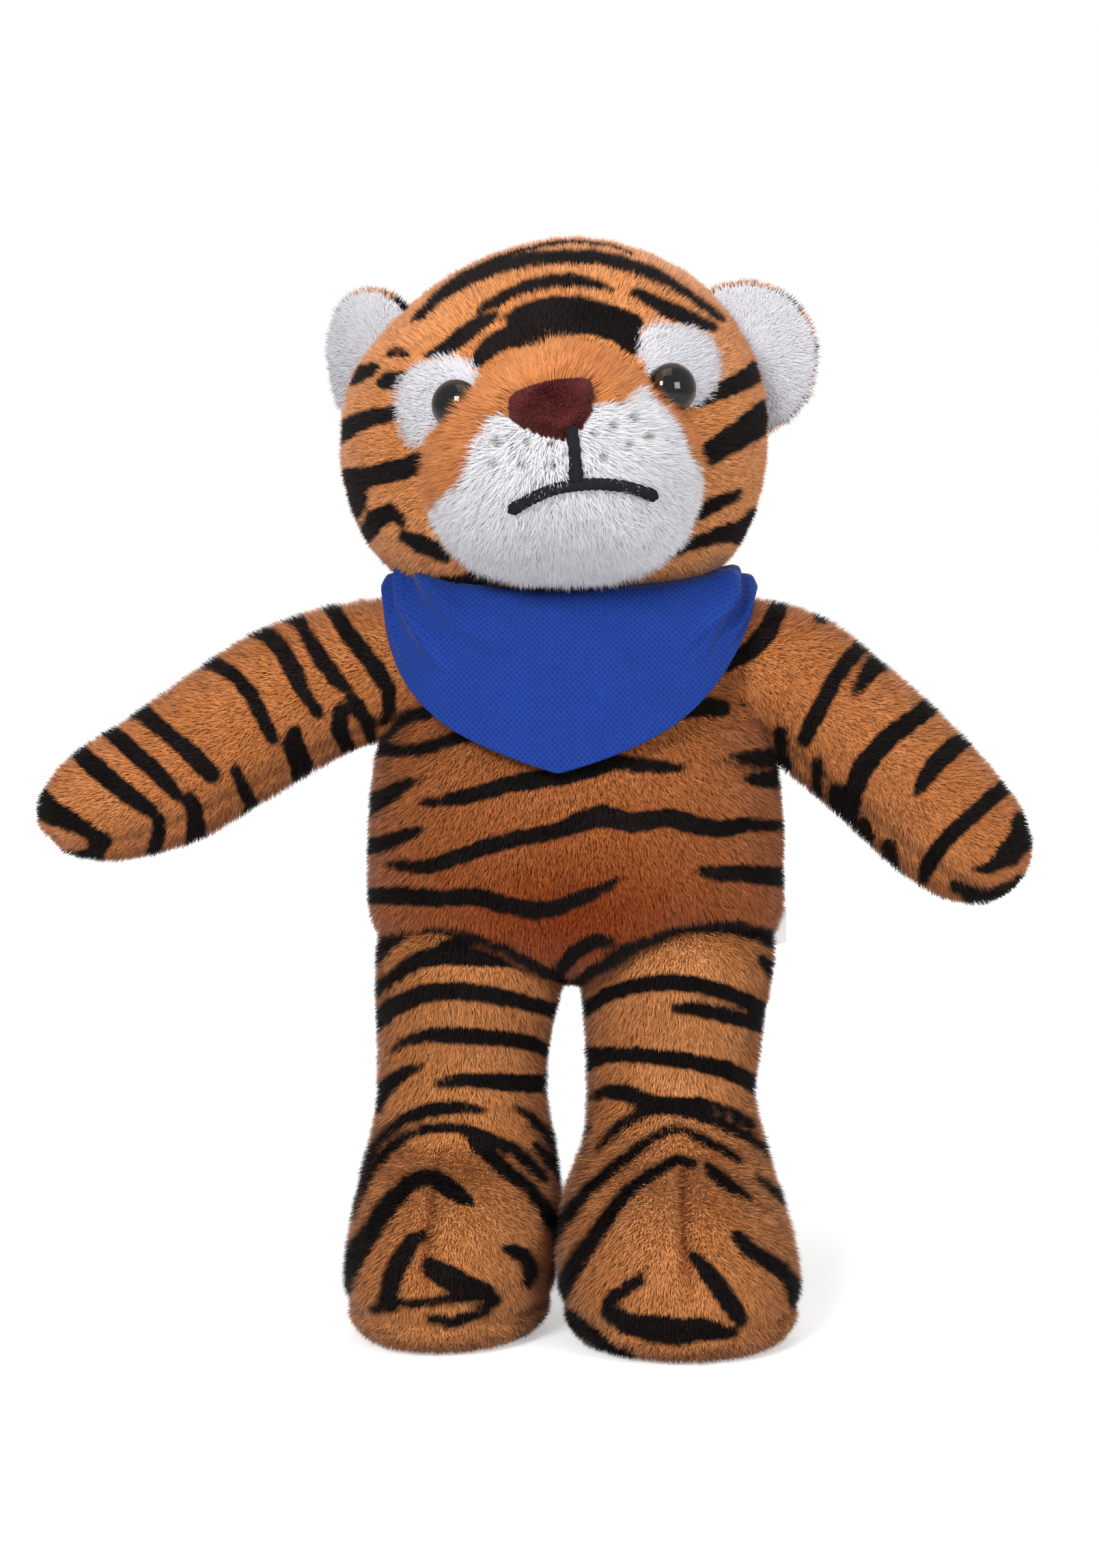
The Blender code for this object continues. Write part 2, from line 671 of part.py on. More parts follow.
# Ears: a white front and a striped back on each, folding along the root
for side, name in SIDE_NAMES.items():
    across, back, up = EAR_PLACE_SHARES[side]
    middle = Vector((HEAD_WIDTH * across, HEAD_DEPTH * back, HEAD_FOOT + HEAD_HEIGHT * up))
    tilt = Matrix.Rotation(EAR_LEANS[side], 4, "Y")
    turn = Matrix.Rotation(EAR_TURNS[side] * -side, 4, "Z")
    frame = Matrix.Translation(middle) @ tilt @ turn
    axis = (tilt @ Vector((0, 0, 1))).normalized()
    root_place = middle + (tilt @ Vector((side * EAR_INSET, 0, 0)))
    ear = joint_empty(f"ear_{name}", root_place, head)
    rooms = [head_room]
    for number, limit in enumerate(EAR_SWING):
        way = Matrix.Rotation(-limit * side, 4, axis)
        back = Matrix.Translation(root_place) @ way @ Matrix.Translation(-root_place)
        room_form = grown(head_form, FIT)
        bmesh.ops.transform(room_form, matrix=back, verts=room_form.verts[:])
        rooms.append(hidden(piece(f"ear_room_{name}_{number}", room_form)))
    for half_name, facing_way, colour in (("front", -1, WHITE_PLUSH), ("back", 1, GOLD_PLUSH)):
        lens = bmesh.new()
        bmesh.ops.create_uvsphere(lens, u_segments=LIMB_SEGMENTS, v_segments=SMALL_SEGMENTS, radius=1)
        size = Matrix.Diagonal((EAR_REACH, EAR_THICK / 2, EAR_HEIGHT / 2, 1))
        bmesh.ops.transform(lens, matrix=size, verts=lens.verts[:])
        block(lens, [((0, 0, 0), (0, facing_way, 0))])
        bmesh.ops.transform(lens, matrix=frame, verts=lens.verts[:])
        half_ear = piece(f"ear_{name}_{half_name}", lens, ear, colour)
        for room in rooms:
            boolean(half_ear, room)


def limb_rings(middles, sizes, flatness):
    """Rings square to a line of middles in the XZ plane, with their half thicknesses."""
    rings = []
    for number, (middle, size) in enumerate(zip(middles, sizes)):
        before = middles[max(number - 1, 0)]
        after = middles[min(number + 1, len(middles) - 1)]
        run = (after - before).normalized()
        along = run.cross(Vector((0, 1, 0))).normalized()
        rings.append((middle, Vector((0, size * flatness, 0)), along * size))
    return rings


# Arms: an upper and an under panel, parted by the seam that shows along the front
for side, name in SIDE_NAMES.items():
    shoulder = Vector((side * (TORSO_WIDTH / 2 - SHOULDER_INSET), 0, TORSO_TOP - SHOULDER_DROP))
    carrier = joint_empty(f"arm_{name}", shoulder, torso)
    inward = Vector((-side, 0, 0))
    middles, sizes = [], []
    for share in reversed(DOME_SHARES):
        middles.append(shoulder + inward * SHOULDER_RADIUS * share)
        sizes.append(SHOULDER_RADIUS * math.sqrt(1 - share**2))
    middles.append(shoulder)
    sizes.append(SHOULDER_RADIUS)
    for out, up, size in ARM_SHARES[side]:
        middles.append(shoulder + Vector((side * out, 0, up)) * ARM_LENGTH)
        sizes.append(ARM_THICK / 2 * size)
    form = loft(limb_rings(middles, sizes, ARM_DEPTH / ARM_THICK), LIMB_SEGMENTS)
    along = (middles[-4] - shoulder).normalized()
    square = along.cross(Vector((0, side, 0)))
    seam_way = Matrix.Rotation(side * ARM_SEAM_TURN, 3, along) @ square
    upper, under = panel(form, [(shoulder, seam_way)]), panel(form, [(shoulder, -seam_way)])
    piece(f"arm_{name}_upper_panel", upper, carrier, GOLD_PLUSH)
    piece(f"arm_{name}_under_panel", under, carrier, GOLD_PLUSH)
    piece(f"arm_{name}_stuffing", grown(form, -PLUSH - FIT), carrier, FIBRE)

    swept = swing_room(
        f"shoulder_room_{name}",
        shoulder,
        along,
        Vector((0, -side, 0)),
        ARM_SWINGS[side],
        ARM_LENGTH,
        SHOULDER_RADIUS + SWING_ROOM,
    )
    for cover in torso_pieces:
        boolean(cover, swept)

# Legs: an outer and an inner panel that meet along the toe, a sole, stuffing and pellets
for side, name in SIDE_NAMES.items():
    hip = Vector((TORSO_WIDTH * HIP_SHARES[side], 0, HIP_Z))
    foot_x = hip.x + side * FEET_SPLAY[side]
    carrier = joint_empty(f"leg_{name}", hip, torso)
    rings = []
    for share in reversed(DOME_SHARES):
        wide = HIP_RADIUS * math.sqrt(1 - share**2)
        rings.append((hip + Vector((0, 0, HIP_RADIUS * share)), (wide, 0, 0), (0, wide, 0)))
    rings.append((hip, (HIP_RADIUS, 0, 0), (0, HIP_RADIUS, 0)))
    for height, wide, deep, forward in LEG_SHARES:
        rings.append(
            (
                Vector(
                    (
                        hip.x + (foot_x - hip.x) * (1 - height),
                        FEET_BACK[side] * (1 - height) - FOOT_LENGTH * forward,
                        HIP_Z * height,
                    )
                ),
                (LEG_WIDTH / 2 * wide, 0, 0),
                (0, LEG_WIDTH / 2 * deep, 0),
            )
        )
    ankle = Vector((foot_x, FEET_BACK[side], 0))
    foot_turn = Matrix.Rotation(side * FOOT_TURNS[side], 3, "Z")
    for height, wide, deep, forward in FOOT_SHARES:
        middle = ankle + foot_turn @ Vector((0, -FOOT_LENGTH * forward, HIP_Z * height))
        across = foot_turn @ Vector((FOOT_WIDTHS[side] / 2 * wide, 0, 0))
        along = foot_turn @ Vector((0, FOOT_LENGTH / 2 * deep, 0))
        rings.append((middle, across, along))
    form = loft(rings, LIMB_SEGMENTS)
    sole_seam = (0, 0, SOLE_RISE)
    toe_seam = (ankle.x, ankle.y, 0)
    toe_way = foot_turn @ Vector((side, 0, 0))
    above = (sole_seam, (0, 0, 1))
    outer, inner = panel(form, [above, (toe_seam, toe_way)]), panel(form, [above, (toe_seam, -toe_way)])
    piece(f"leg_{name}_outer_panel", outer, carrier, GOLD_PLUSH)
    piece(f"leg_{name}_inner_panel", inner, carrier, GOLD_PLUSH)
    piece(f"foot_{name}_sole", panel(form, [(sole_seam, (0, 0, -1))]), carrier, GOLD_PLUSH)
    core = grown(form, -PLUSH - FIT)
    pellet_seam = (0, 0, PELLET_DEPTH)
    piece(f"leg_{name}_stuffing", block(core.copy(), [(pellet_seam, (0, 0, 1))]), carrier, FIBRE)
    piece(f"foot_{name}_pellets", block(core, [(pellet_seam, (0, 0, -1))]), carrier, PELLETS)

    swept = swing_room(
        f"hip_room_{name}",
        hip,
        Vector((0, 0, -1)),
        Vector((-1, 0, 0)),
        LEG_SWING,
        HIP_Z,
        HIP_RADIUS + SWING_ROOM,
    )
    for cover in torso_pieces:
        boolean(cover, swept)

# Tail: a stuffed tube sewn into the back seam, lying to the right
torso_surface = BVHTree.FromBMesh(torso_form)
behind = Vector((0, TORSO_DEPTH, TORSO_FOOT + TORSO_HEIGHT * TAIL_HEIGHT_SHARE))
root, root_way, _, _ = torso_surface.ray_cast(behind, Vector((0, -1, 0)))
root += root_way * SEWN_GAP
tail = joint_empty("tail", root, torso)
middles = [root + Vector((out, back, up)) * TAIL_LENGTH for out, back, up, _ in TAIL_SHARES]
sizes = [TAIL_RADIUS * size for _, _, _, size in TAIL_SHARES]
rings = []
for number, (middle, size) in enumerate(zip(middles, sizes)):
    before = middles[max(number - 1, 0)]
    after = middles[min(number + 1, len(middles) - 1)]
    run = (after - before).normalized() if number else root_way
    across = run.cross(Vector((0, 1, 0))).normalized() if number else Vector((1, 0, 0))
    rings.append((middle, across * size, run.cross(across) * size))
tail_form = loft(rings, TAIL_SEGMENTS)
piece("tail_cover", panel(tail_form, [(root, root_way)]), tail, GOLD_PLUSH)
tail_core = block(grown(tail_form, -PLUSH - FIT), [(root, root_way)])
piece("tail_stuffing", tail_core, tail, FIBRE)

# Neckerchief: a triangle of blue knit round the neck, its ends knotted behind
side_x = TORSO_WIDTH / 2 - SCARF_SIDE_INSET
front_y = TORSO_DEPTH / 2 + SCARF_FRONT_GAP
back_y = TORSO_DEPTH / 2 - SCARF_BACK_INSET
side_z = TORSO_TOP + SCARF_SIDE_LIFT
scarf_form = bmesh.new()
rows = []
for down, spread in SCARF_SHARES:
    row = []
    for step in range(SCARF_SEGMENTS):
        turn = math.tau * step / SCARF_SEGMENTS
        out, front = math.sin(turn), math.cos(turn)
        power = 2 / SCARF_CORNER_SHARE
        deep, drop = (front_y, SCARF_FRONT_DROP) if front > 0 else (back_y, SCARF_BACK_DROP)
        edge_z = side_z - (SCARF_SIDE_LIFT + drop) * abs(front) ** SCARF_POINT_SHARE
        wide = SCARF_NECK_X + (side_x - SCARF_NECK_X) * spread
        deep = SCARF_NECK_Y + (deep - SCARF_NECK_Y) * spread
        x = wide * math.copysign(abs(out) ** power, out)
        y = -deep * math.copysign(abs(front) ** power, front)
        neck_z = TORSO_TOP - SCARF_NECK_DROP + SCARF_NECK_RISE * out**2
        z = neck_z + (edge_z - neck_z) * down
        row.append(scarf_form.verts.new((x, y, z)))
    rows.append(row)
for upper_row, lower_row in zip(rows, rows[1:]):
    rims = []
    for row in (upper_row, lower_row):
        for first, second in zip(row, row[1:] + row[:1]):
            edge = scarf_form.edges.get((first, second)) or scarf_form.edges.new((first, second))
            rims.append(edge)
    bmesh.ops.bridge_loops(scarf_form, edges=rims)
scarf_surface = BVHTree.FromBMesh(scarf_form)
scarf = piece("scarf", scarf_form, torso, BLUE_KNIT)
cloth = scarf.modifiers.new("cloth", "SOLIDIFY")
cloth.thickness = SCARF_THICK
cloth.offset = 0
cloth.use_even_offset = True

behind = Vector((0, TORSO_DEPTH, TORSO_TOP - SCARF_BACK_DROP + KNOT_RISE))
knot_place, knot_way, _, _ = scarf_surface.ray_cast(behind, Vector((0, -1, 0)))
if knot_way.y < 0:
    knot_way = -knot_way
knot_place += knot_way * (SCARF_THICK + KNOT_THICK / 2 + FIT)
knot_form = bmesh.new()
bmesh.ops.create_uvsphere(knot_form, u_segments=LIMB_SEGMENTS, v_segments=SMALL_SEGMENTS, radius=1)
knot_size = Matrix.Diagonal((KNOT_WIDTH / 2, KNOT_HEIGHT / 2, KNOT_THICK / 2, 1))
knot_matrix = frame_at(knot_place, knot_way) @ knot_size
bmesh.ops.transform(knot_form, matrix=knot_matrix, verts=knot_form.verts[:])
piece("scarf_knot", knot_form, torso, BLUE_KNIT)

# Care label: a blank loop of white tape in the left side seam
label_form = bmesh.new()
bmesh.ops.create_cube(label_form, size=1)
far_side = Vector((TORSO_WIDTH, SIDE_SEAM_Y, TORSO_FOOT + TORSO_HEIGHT * LABEL_HEIGHT_SHARE))
label_root, _, _, _ = torso_surface.ray_cast(far_side, Vector((-1, 0, 0)))
label_size = Matrix.Diagonal((LABEL_LENGTH, LABEL_THICK, LABEL_HEIGHT, 1))
label_root.x += LABEL_OUT
label_turn = Matrix.Rotation(LABEL_TURN, 4, "Z")
label_middle = Matrix.Translation((LABEL_LENGTH / 2, 0, 0))
label_matrix = Matrix.Translation(label_root) @ label_turn @ label_middle @ label_size
bmesh.ops.transform(label_form, matrix=label_matrix, verts=label_form.verts[:])
piece("care_label", label_form, torso, WHITE_PLUSH)

for form in (torso_form, head_form, muzzle_form, tail_form):
    form.free()

# The origin goes to the middle of the footprint, on the floor
bpy.context.view_layer.update()
graph = bpy.context.evaluated_depsgraph_get()
corners = []
for made in bpy.context.scene.objects:
    if made.type == "MESH" and not made.hide_render:
        shown = made.evaluated_get(graph)
        corners += [shown.matrix_world @ vert.co for vert in shown.data.vertices]
middle = Vector(
    (
        (min(c.x for c in corners) + max(c.x for c in corners)) / 2,
        (min(c.y for c in corners) + max(c.y for c in corners)) / 2,
        min(c.z for c in corners),
    )
)
stand.location -= middle
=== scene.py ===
import itertools
import json
import math

import bmesh
import bpy
import numpy as np
from mathutils import Matrix, Vector
from mathutils.bvhtree import BVHTree


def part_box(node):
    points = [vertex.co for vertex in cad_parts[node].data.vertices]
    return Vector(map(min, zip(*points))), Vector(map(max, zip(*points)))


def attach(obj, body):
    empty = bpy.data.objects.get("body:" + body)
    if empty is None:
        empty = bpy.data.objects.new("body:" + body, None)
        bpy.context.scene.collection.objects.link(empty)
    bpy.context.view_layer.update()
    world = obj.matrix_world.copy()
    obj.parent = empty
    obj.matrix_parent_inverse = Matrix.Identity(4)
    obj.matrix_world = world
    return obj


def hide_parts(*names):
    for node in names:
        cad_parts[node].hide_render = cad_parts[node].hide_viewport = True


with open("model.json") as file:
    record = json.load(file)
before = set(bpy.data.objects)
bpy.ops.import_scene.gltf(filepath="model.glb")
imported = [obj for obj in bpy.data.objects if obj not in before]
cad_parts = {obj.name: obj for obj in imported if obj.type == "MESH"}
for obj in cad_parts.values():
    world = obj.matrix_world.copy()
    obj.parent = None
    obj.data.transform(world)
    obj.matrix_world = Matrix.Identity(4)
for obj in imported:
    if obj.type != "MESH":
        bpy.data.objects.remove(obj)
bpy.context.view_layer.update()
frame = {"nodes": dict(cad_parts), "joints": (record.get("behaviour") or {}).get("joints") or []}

# Camera
# A long lens about a metre in front of the tiger, looking slightly down at its chest.
# What is drawn on the plush is measured in the photograph, so its frame is worked out here too.
PHOTO_WIDE, PHOTO_HIGH = 1609, 2296
LENS, SENSOR = 92.0, 36.0
CAMERA_AWAY = 0.930
CAMERA_RISE = math.radians(6)
CHEST_HEIGHT, CHEST_ASIDE = 0.1267, -0.0061

joint = {made["name"]: Vector(made["pos_m"]) for made in frame["joints"]}
middle = (joint["arm_left_raise"] + joint["arm_right_raise"]) / 2
middle.z = 0
gaze = Vector((0, math.cos(CAMERA_RISE), -math.sin(CAMERA_RISE)))
gaze_up = Vector((0, math.sin(CAMERA_RISE), math.cos(CAMERA_RISE)))
eye_point = middle + Vector((CHEST_ASIDE, 0, CHEST_HEIGHT)) - gaze * CAMERA_AWAY
pixels_deep = PHOTO_HIGH * LENS / SENSOR
pixels_per_mm = pixels_deep / CAMERA_AWAY / 1000

camera = bpy.data.objects.new("camera", bpy.data.cameras.new("camera"))
camera.data.sensor_fit = "VERTICAL"
camera.data.sensor_height = SENSOR
camera.data.lens = LENS
camera.location = eye_point
camera.rotation_euler = (math.pi / 2 - CAMERA_RISE, 0, 0)
bpy.context.scene.collection.objects.link(camera)
bpy.context.scene.camera = camera


def seen(places):
    """Where places in the scene are seen in the photograph, in its pixels."""
    away = places - np.array(eye_point)
    depth = away @ np.array(gaze)
    across = PHOTO_WIDE / 2 + pixels_deep * away[:, 0] / depth
    down = PHOTO_HIGH / 2 - pixels_deep * (away @ np.array(gaze_up)) / depth
    return np.stack([across, down], axis=1)


# Torso
# A stuffed barrel of striped plush: a belly panel and two back panels, sewn at the sides and the
# middle of the back. The belly is pulled in by a crease that runs down between the legs.
SIDES = {1: "left", -1: "right"}
PILE_STAND = 0.0014
TORSO_WIDE, TORSO_DEEP, TORSO_TALL = 0.0960, 0.0750, 0.0865
TORSO_FOOT = 0.0815
SIDE_SEAM_BACK = 0.0040
TORSO_SHARES = (
    (-0.012, 0.00, 0.00),
    (0.000, 0.36, 0.34),
    (0.035, 0.68, 0.60),
    (0.100, 0.935, 0.82),
    (0.170, 1.005, 0.92),
    (0.290, 1.015, 0.985),
    (0.430, 1.01, 1.00),
    (0.600, 0.975, 0.955),
    (0.750, 0.89, 0.86),
    (0.870, 0.765, 0.745),
    (0.945, 0.58, 0.58),
    (0.990, 0.36, 0.38),
    (1.005, 0.00, 0.00),
)
TORSO_AROUND, TORSO_ALONG = 160, 80
CREASE_X, CREASE_TOP, CREASE_DEEP, CREASE_WIDE = -0.0025, 0.1180, 0.0030, 0.0040
CREASE_FADE = 0.018
# The line where the thighs come out under the belly, across and up, and how far the belly is
# tucked in below it
HIP_FOLD = (
    (-0.0500, 0.0901), (-0.0448, 0.0921), (-0.0316, 0.0971), (-0.0161, 0.0911), (-0.0070, 0.0850),
    (-0.0005, 0.0796), (0.0050, 0.0860), (0.0133, 0.0939), (0.0242, 0.0987), (0.0400, 0.0956),
    (0.0500, 0.0921),
)
BELLY_TUCK, TUCK_RISE = 0.0170, 0.0075
# Painted shade that makes the belly's plush a deeper orange: the middle of the patch and its reach,
# the share all over the front and what the patch adds, and from where to where it fades round the
# side
SHADE_X, SHADE_Z, SHADE_WIDE, SHADE_TALL = -0.0010, 0.1000, 0.0400, 0.0190
SHADE_ALL, SHADE_MORE = 0.42, 0.54
SHADE_SIDE = (-0.010, 0.005)
# Close-ups of the photograph: the pixel of their upper left corner and how much they enlarge
BELLY_VIEW = (480, 1000, 2.119)
# Stripes read in that close-up: across, down and the stripe's width, from end to end. The
# first two lie in the folds over the thighs.
HIP_STRIPES = (
    ((150, 861, 30), (229, 802, 32), (319, 768, 30), (432, 775, 24), (545, 811, 22),
     (636, 865, 24), (726, 920, 18)),
    ((760, 929, 14), (839, 872, 28), (930, 820, 34), (1043, 775, 34), (1156, 752, 34),
     (1269, 752, 36), (1359, 775, 34), (1420, 813, 22)),
)
BELLY_STRIPES = (
    ((155, 205, 30), (190, 150, 40), (250, 110, 40), (350, 85, 35)),
    ((150, 210, 35), (290, 210, 35), (380, 180, 35), (470, 160, 30), (520, 145, 10)),
    ((120, 400, 50), (150, 375, 50), (200, 345, 50), (260, 310, 25), (310, 295, 12)),
    ((290, 375, 8), (325, 368, 28), (400, 362, 40), (480, 340, 42), (560, 315, 45), (650, 300, 50),
     (740, 288, 52), (830, 262, 50), (900, 245, 45), (960, 255, 40), (1045, 260, 35),
     (1100, 262, 10)),
    ((120, 510, 45), (160, 505, 45), (220, 485, 40), (280, 460, 25), (310, 450, 8)),
    ((190, 562, 8), (225, 565, 30), (320, 570, 42), (420, 535, 42), (520, 500, 42), (600, 478, 45),
     (700, 465, 45), (780, 430, 55), (850, 410, 60), (950, 435, 55), (1050, 415, 50),
     (1130, 440, 55), (1200, 455, 48), (1290, 440, 42), (1380, 445, 30), (1440, 450, 30)),
    ((1180, 250, 6), (1215, 243, 15), (1290, 230, 35), (1350, 235, 50), (1420, 240, 50)),
    ((1250, 296, 6), (1280, 297, 20), (1330, 300, 40), (1368, 303, 45), (1430, 310, 45)),
    ((1120, 578, 8), (1150, 582, 22), (1200, 592, 42), (1290, 590, 48), (1420, 605, 55)),
    ((130, 660, 45), (230, 660, 48), (350, 665, 45), (470, 660, 50), (550, 685, 48),
     (640, 705, 48), (720, 690, 45), (800, 660, 38), (885, 618, 22), (920, 600, 6)),
    ((700, 890, 30), (735, 860, 50), (780, 820, 42), (840, 792, 35), (885, 800, 20),
     (910, 806, 6)),
    ((1000, 130, 8), (1040, 110, 30), (1100, 90, 45), (1160, 75, 50), (1215, 80, 50)),
)


def eased(rows, shares):
    """Rows of numbers read at some shares of the way along a smooth line through them."""
    rows = np.array(rows, float)
    steps = np.diff(rows, axis=0)
    gaps = np.linalg.norm(steps, axis=1)
    starts = np.concatenate([[0], np.cumsum(gaps)])
    slopes = steps / gaps[:, None]
    ways = np.empty_like(rows)
    weights = (gaps[1:] / (gaps[:-1] + gaps[1:]))[:, None]
    ways[1:-1] = slopes[:-1] * weights + slopes[1:] * (1 - weights)
    ways[0] = 2 * slopes[0] - ways[1]
    ways[-1] = 2 * slopes[-1] - ways[-2]
    spots = np.asarray(shares) * starts[-1]
    number = np.clip(np.searchsorted(starts, spots, "right") - 1, 0, len(gaps) - 1)
    run = gaps[number][:, None]
    t = (spots - starts[number])[:, None] / run
    return (
        rows[number] * (2 * t**3 - 3 * t**2 + 1)
        + ways[number] * run * (t**3 - 2 * t**2 + t)
        + rows[number + 1] * (3 * t**2 - 2 * t**3)
        + ways[number + 1] * run * (t**3 - t**2)
    )


def places_of(bm):
    return np.array([vert.co for vert in bm.verts])


def normals_of(bm):
    return np.array([vert.normal for vert in bm.verts])


def put(bm, places):
    for vert, place in zip(bm.verts, places):
        vert.co = place
    bm.normal_update()


def level(spot, half_wide, half_deep):
    """A level section of a skin, drawn in by the height of the pile that stands on it."""
    wide, deep = max(half_wide - PILE_STAND, 0), max(half_deep - PILE_STAND, 0)
    return spot, Vector((wide, 0, 0)), Vector((0, deep, 0))


def skin(sections, around, along, crown=2, base=2):
    """A closed skin of cloth through sections of (middle, half axis across, half axis along)."""
    bm = bmesh.new()
    bm.loops.layers.uv.new("OFBake")
    bmesh.ops.create_grid(bm, x_segments=around, y_segments=along, size=1, calc_uvs=True)
    flat = places_of(bm)
    rows = eased([[*a, *b, *c] for a, b, c in sections], (flat[:, 1] + 1) / 2)
    turns = (flat[:, 0] + 1) * math.pi
    first, second = np.cos(turns), np.sin(turns)
    power = 2 / np.where(second > 0, crown, base)
    first = np.sign(first) * np.abs(first) ** power
    second = np.sign(second) * np.abs(second) ** power
    put(bm, rows[:, :3] + rows[:, 3:6] * first[:, None] + rows[:, 6:] * second[:, None])
    bmesh.ops.remove_doubles(bm, verts=bm.verts[:], dist=PILE_STAND / 100)
    bmesh.ops.recalc_face_normals(bm, faces=bm.faces[:])
    bm.normal_update()
    return bm


def pressed(bm, gap, deep, wide):
    """Pulls a skin in along a line from which each vertex has some gap."""
    put(bm, places_of(bm) - normals_of(bm) * (deep * np.exp(-((gap / wide) ** 2)))[:, None])


def marked(bm, name, values):
    """Writes a value to each vertex of a skin, or the same one to all."""
    values = np.asarray(values, float)
    if values.ndim == 0:
        values = np.full(len(bm.verts), values)
    kinds = bm.verts.layers.float_vector if values.ndim == 2 else bm.verts.layers.float
    layer = kinds.get(name) or kinds.new(name)
    for vert, value in zip(bm.verts, values):
        vert[layer] = value


def combed(bm, way):
    """Combs the whole pile of a skin one way."""
    marked(bm, "comb", np.tile(way, (len(bm.verts), 1)))


def fanned(bm, spot):
    """Combs the pile of a skin away from a spot."""
    away = places_of(bm) - spot
    lengths = np.maximum(np.linalg.norm(away, axis=1), PILE_STAND / 10)
    marked(bm, "comb", away / lengths[:, None])


def read(view, lines):
    """Lines read in a close-up, in the photograph's own pixels, with half widths."""
    left, top, larger = view
    return [
        [(left + x / larger, top + y / larger, wide / larger / 2) for x, y, wide in line]
        for line in lines
    ]


def gap_to(spots, lines):
    """How far each spot is from the nearest line's edge, and less than nothing inside it."""
    gap = np.full(len(spots), 1e3)
    for line in lines:
        for start, end in zip(line, line[1:]):
            start, end = np.array(start, float), np.array(end, float)
            run = end[:2] - start[:2]
            share = np.clip((spots - start[:2]) @ run / max(run @ run, 1e-12), 0, 1)
            nearest = start + share[:, None] * (end - start)
            gap = np.minimum(gap, np.linalg.norm(spots - nearest[:, :2], axis=1) - nearest[:, 2])
    return gap


def stripe_gap(places, lines):
    """The gap to stripes measured in the photograph, in millimetres on the tiger."""
    return gap_to(seen(places), lines) / pixels_per_mm


def part_of(bm, keep):
    """A copy of the faces of a skin whose middles pass a test."""
    part = bm.copy()
    middles = np.array([face.calc_center_median() for face in part.faces])
    gone = [face for face, kept in zip(part.faces[:], keep(middles)) if not kept]
    bmesh.ops.delete(part, geom=gone, context="FACES")
    return part


def node(tree, kind, *sockets, **settings):
    """A node with its settings, and its inputs set or linked in their order."""
    made = tree.nodes.new(kind)
    for name, value in settings.items():
        setattr(made, name, value)
    for number, value in enumerate(sockets):
        if isinstance(value, bpy.types.NodeSocket):
            tree.links.new(value, made.inputs[number])
        elif value is not None:
            made.inputs[number].default_value = value
    return made


def sums(tree, operation, first, second=None):
    return node(tree, "ShaderNodeMath", first, second, operation=operation).outputs[0]


def mixed(tree, share, first, second, mode="MIX"):
    """One colour laid over another by a share."""
    made = node(tree, "ShaderNodeMix", share, data_type="RGBA", blend_type=mode)
    for number, value in ((6, first), (7, second)):
        if isinstance(value, bpy.types.NodeSocket):
            tree.links.new(value, made.inputs[number])
        else:
            made.inputs[number].default_value = (*value, 1)
    return made.outputs[2]


def times(colour, share):
    return tuple(share * value for value in colour)


def attribute(tree, name):
    return node(tree, "ShaderNodeAttribute", attribute_name=name).outputs["Fac"]


def ranged(tree, value, low, high, first, last):
    return node(tree, "ShaderNodeMapRange", value, low, high, first, last).outputs[0]


def noise(tree, place, scale, detail=2.0):
    return node(tree, "ShaderNodeTexNoise", place, None, scale, detail).outputs["Fac"]


def new_finish(name):
    """A new material, with its nodes and its shader."""
    material = bpy.data.materials.new(name)
    material.use_nodes = True
    return material, material.node_tree, material.node_tree.nodes["Principled BSDF"]


def dress(shader, colour, roughness, specular=0.5, sheen=0.0, sheen_roughness=0.5):
    """Gives a shader its colour by a link, and what is the same all over by its own sockets."""
    shader.id_data.links.new(colour, shader.inputs["Base Color"])
    shader.inputs["Roughness"].default_value = roughness
    shader.inputs["Specular IOR Level"].default_value = specular
    shader.inputs["Sheen Weight"].default_value = sheen
    shader.inputs["Sheen Roughness"].default_value = sheen_roughness


def own_place(tree):
    return node(tree, "ShaderNodeTexCoord").outputs["Object"]


STRIPE_BLACK = (0.009, 0.006, 0.006)
# The last of these golds is painted shade: the red-brown that a skin's "deep" mark lays on the
# plush
GOLD, GOLD_SHADED, GOLD_PAINTED_SHADE = (0.83, 0.340, 0.125), (0.60, 0.200, 0.050), (0.29, 0.042, 0.004)
# Sizes of the patches and of the specks in a plush's colour, as noise scales
PATCHES, SPECKS = 45.0, 420.0
# Sheen of the bare ground and of the printed stripes
GROUND_SHEEN, STRIPE_SHEEN = 0.12, 0.02


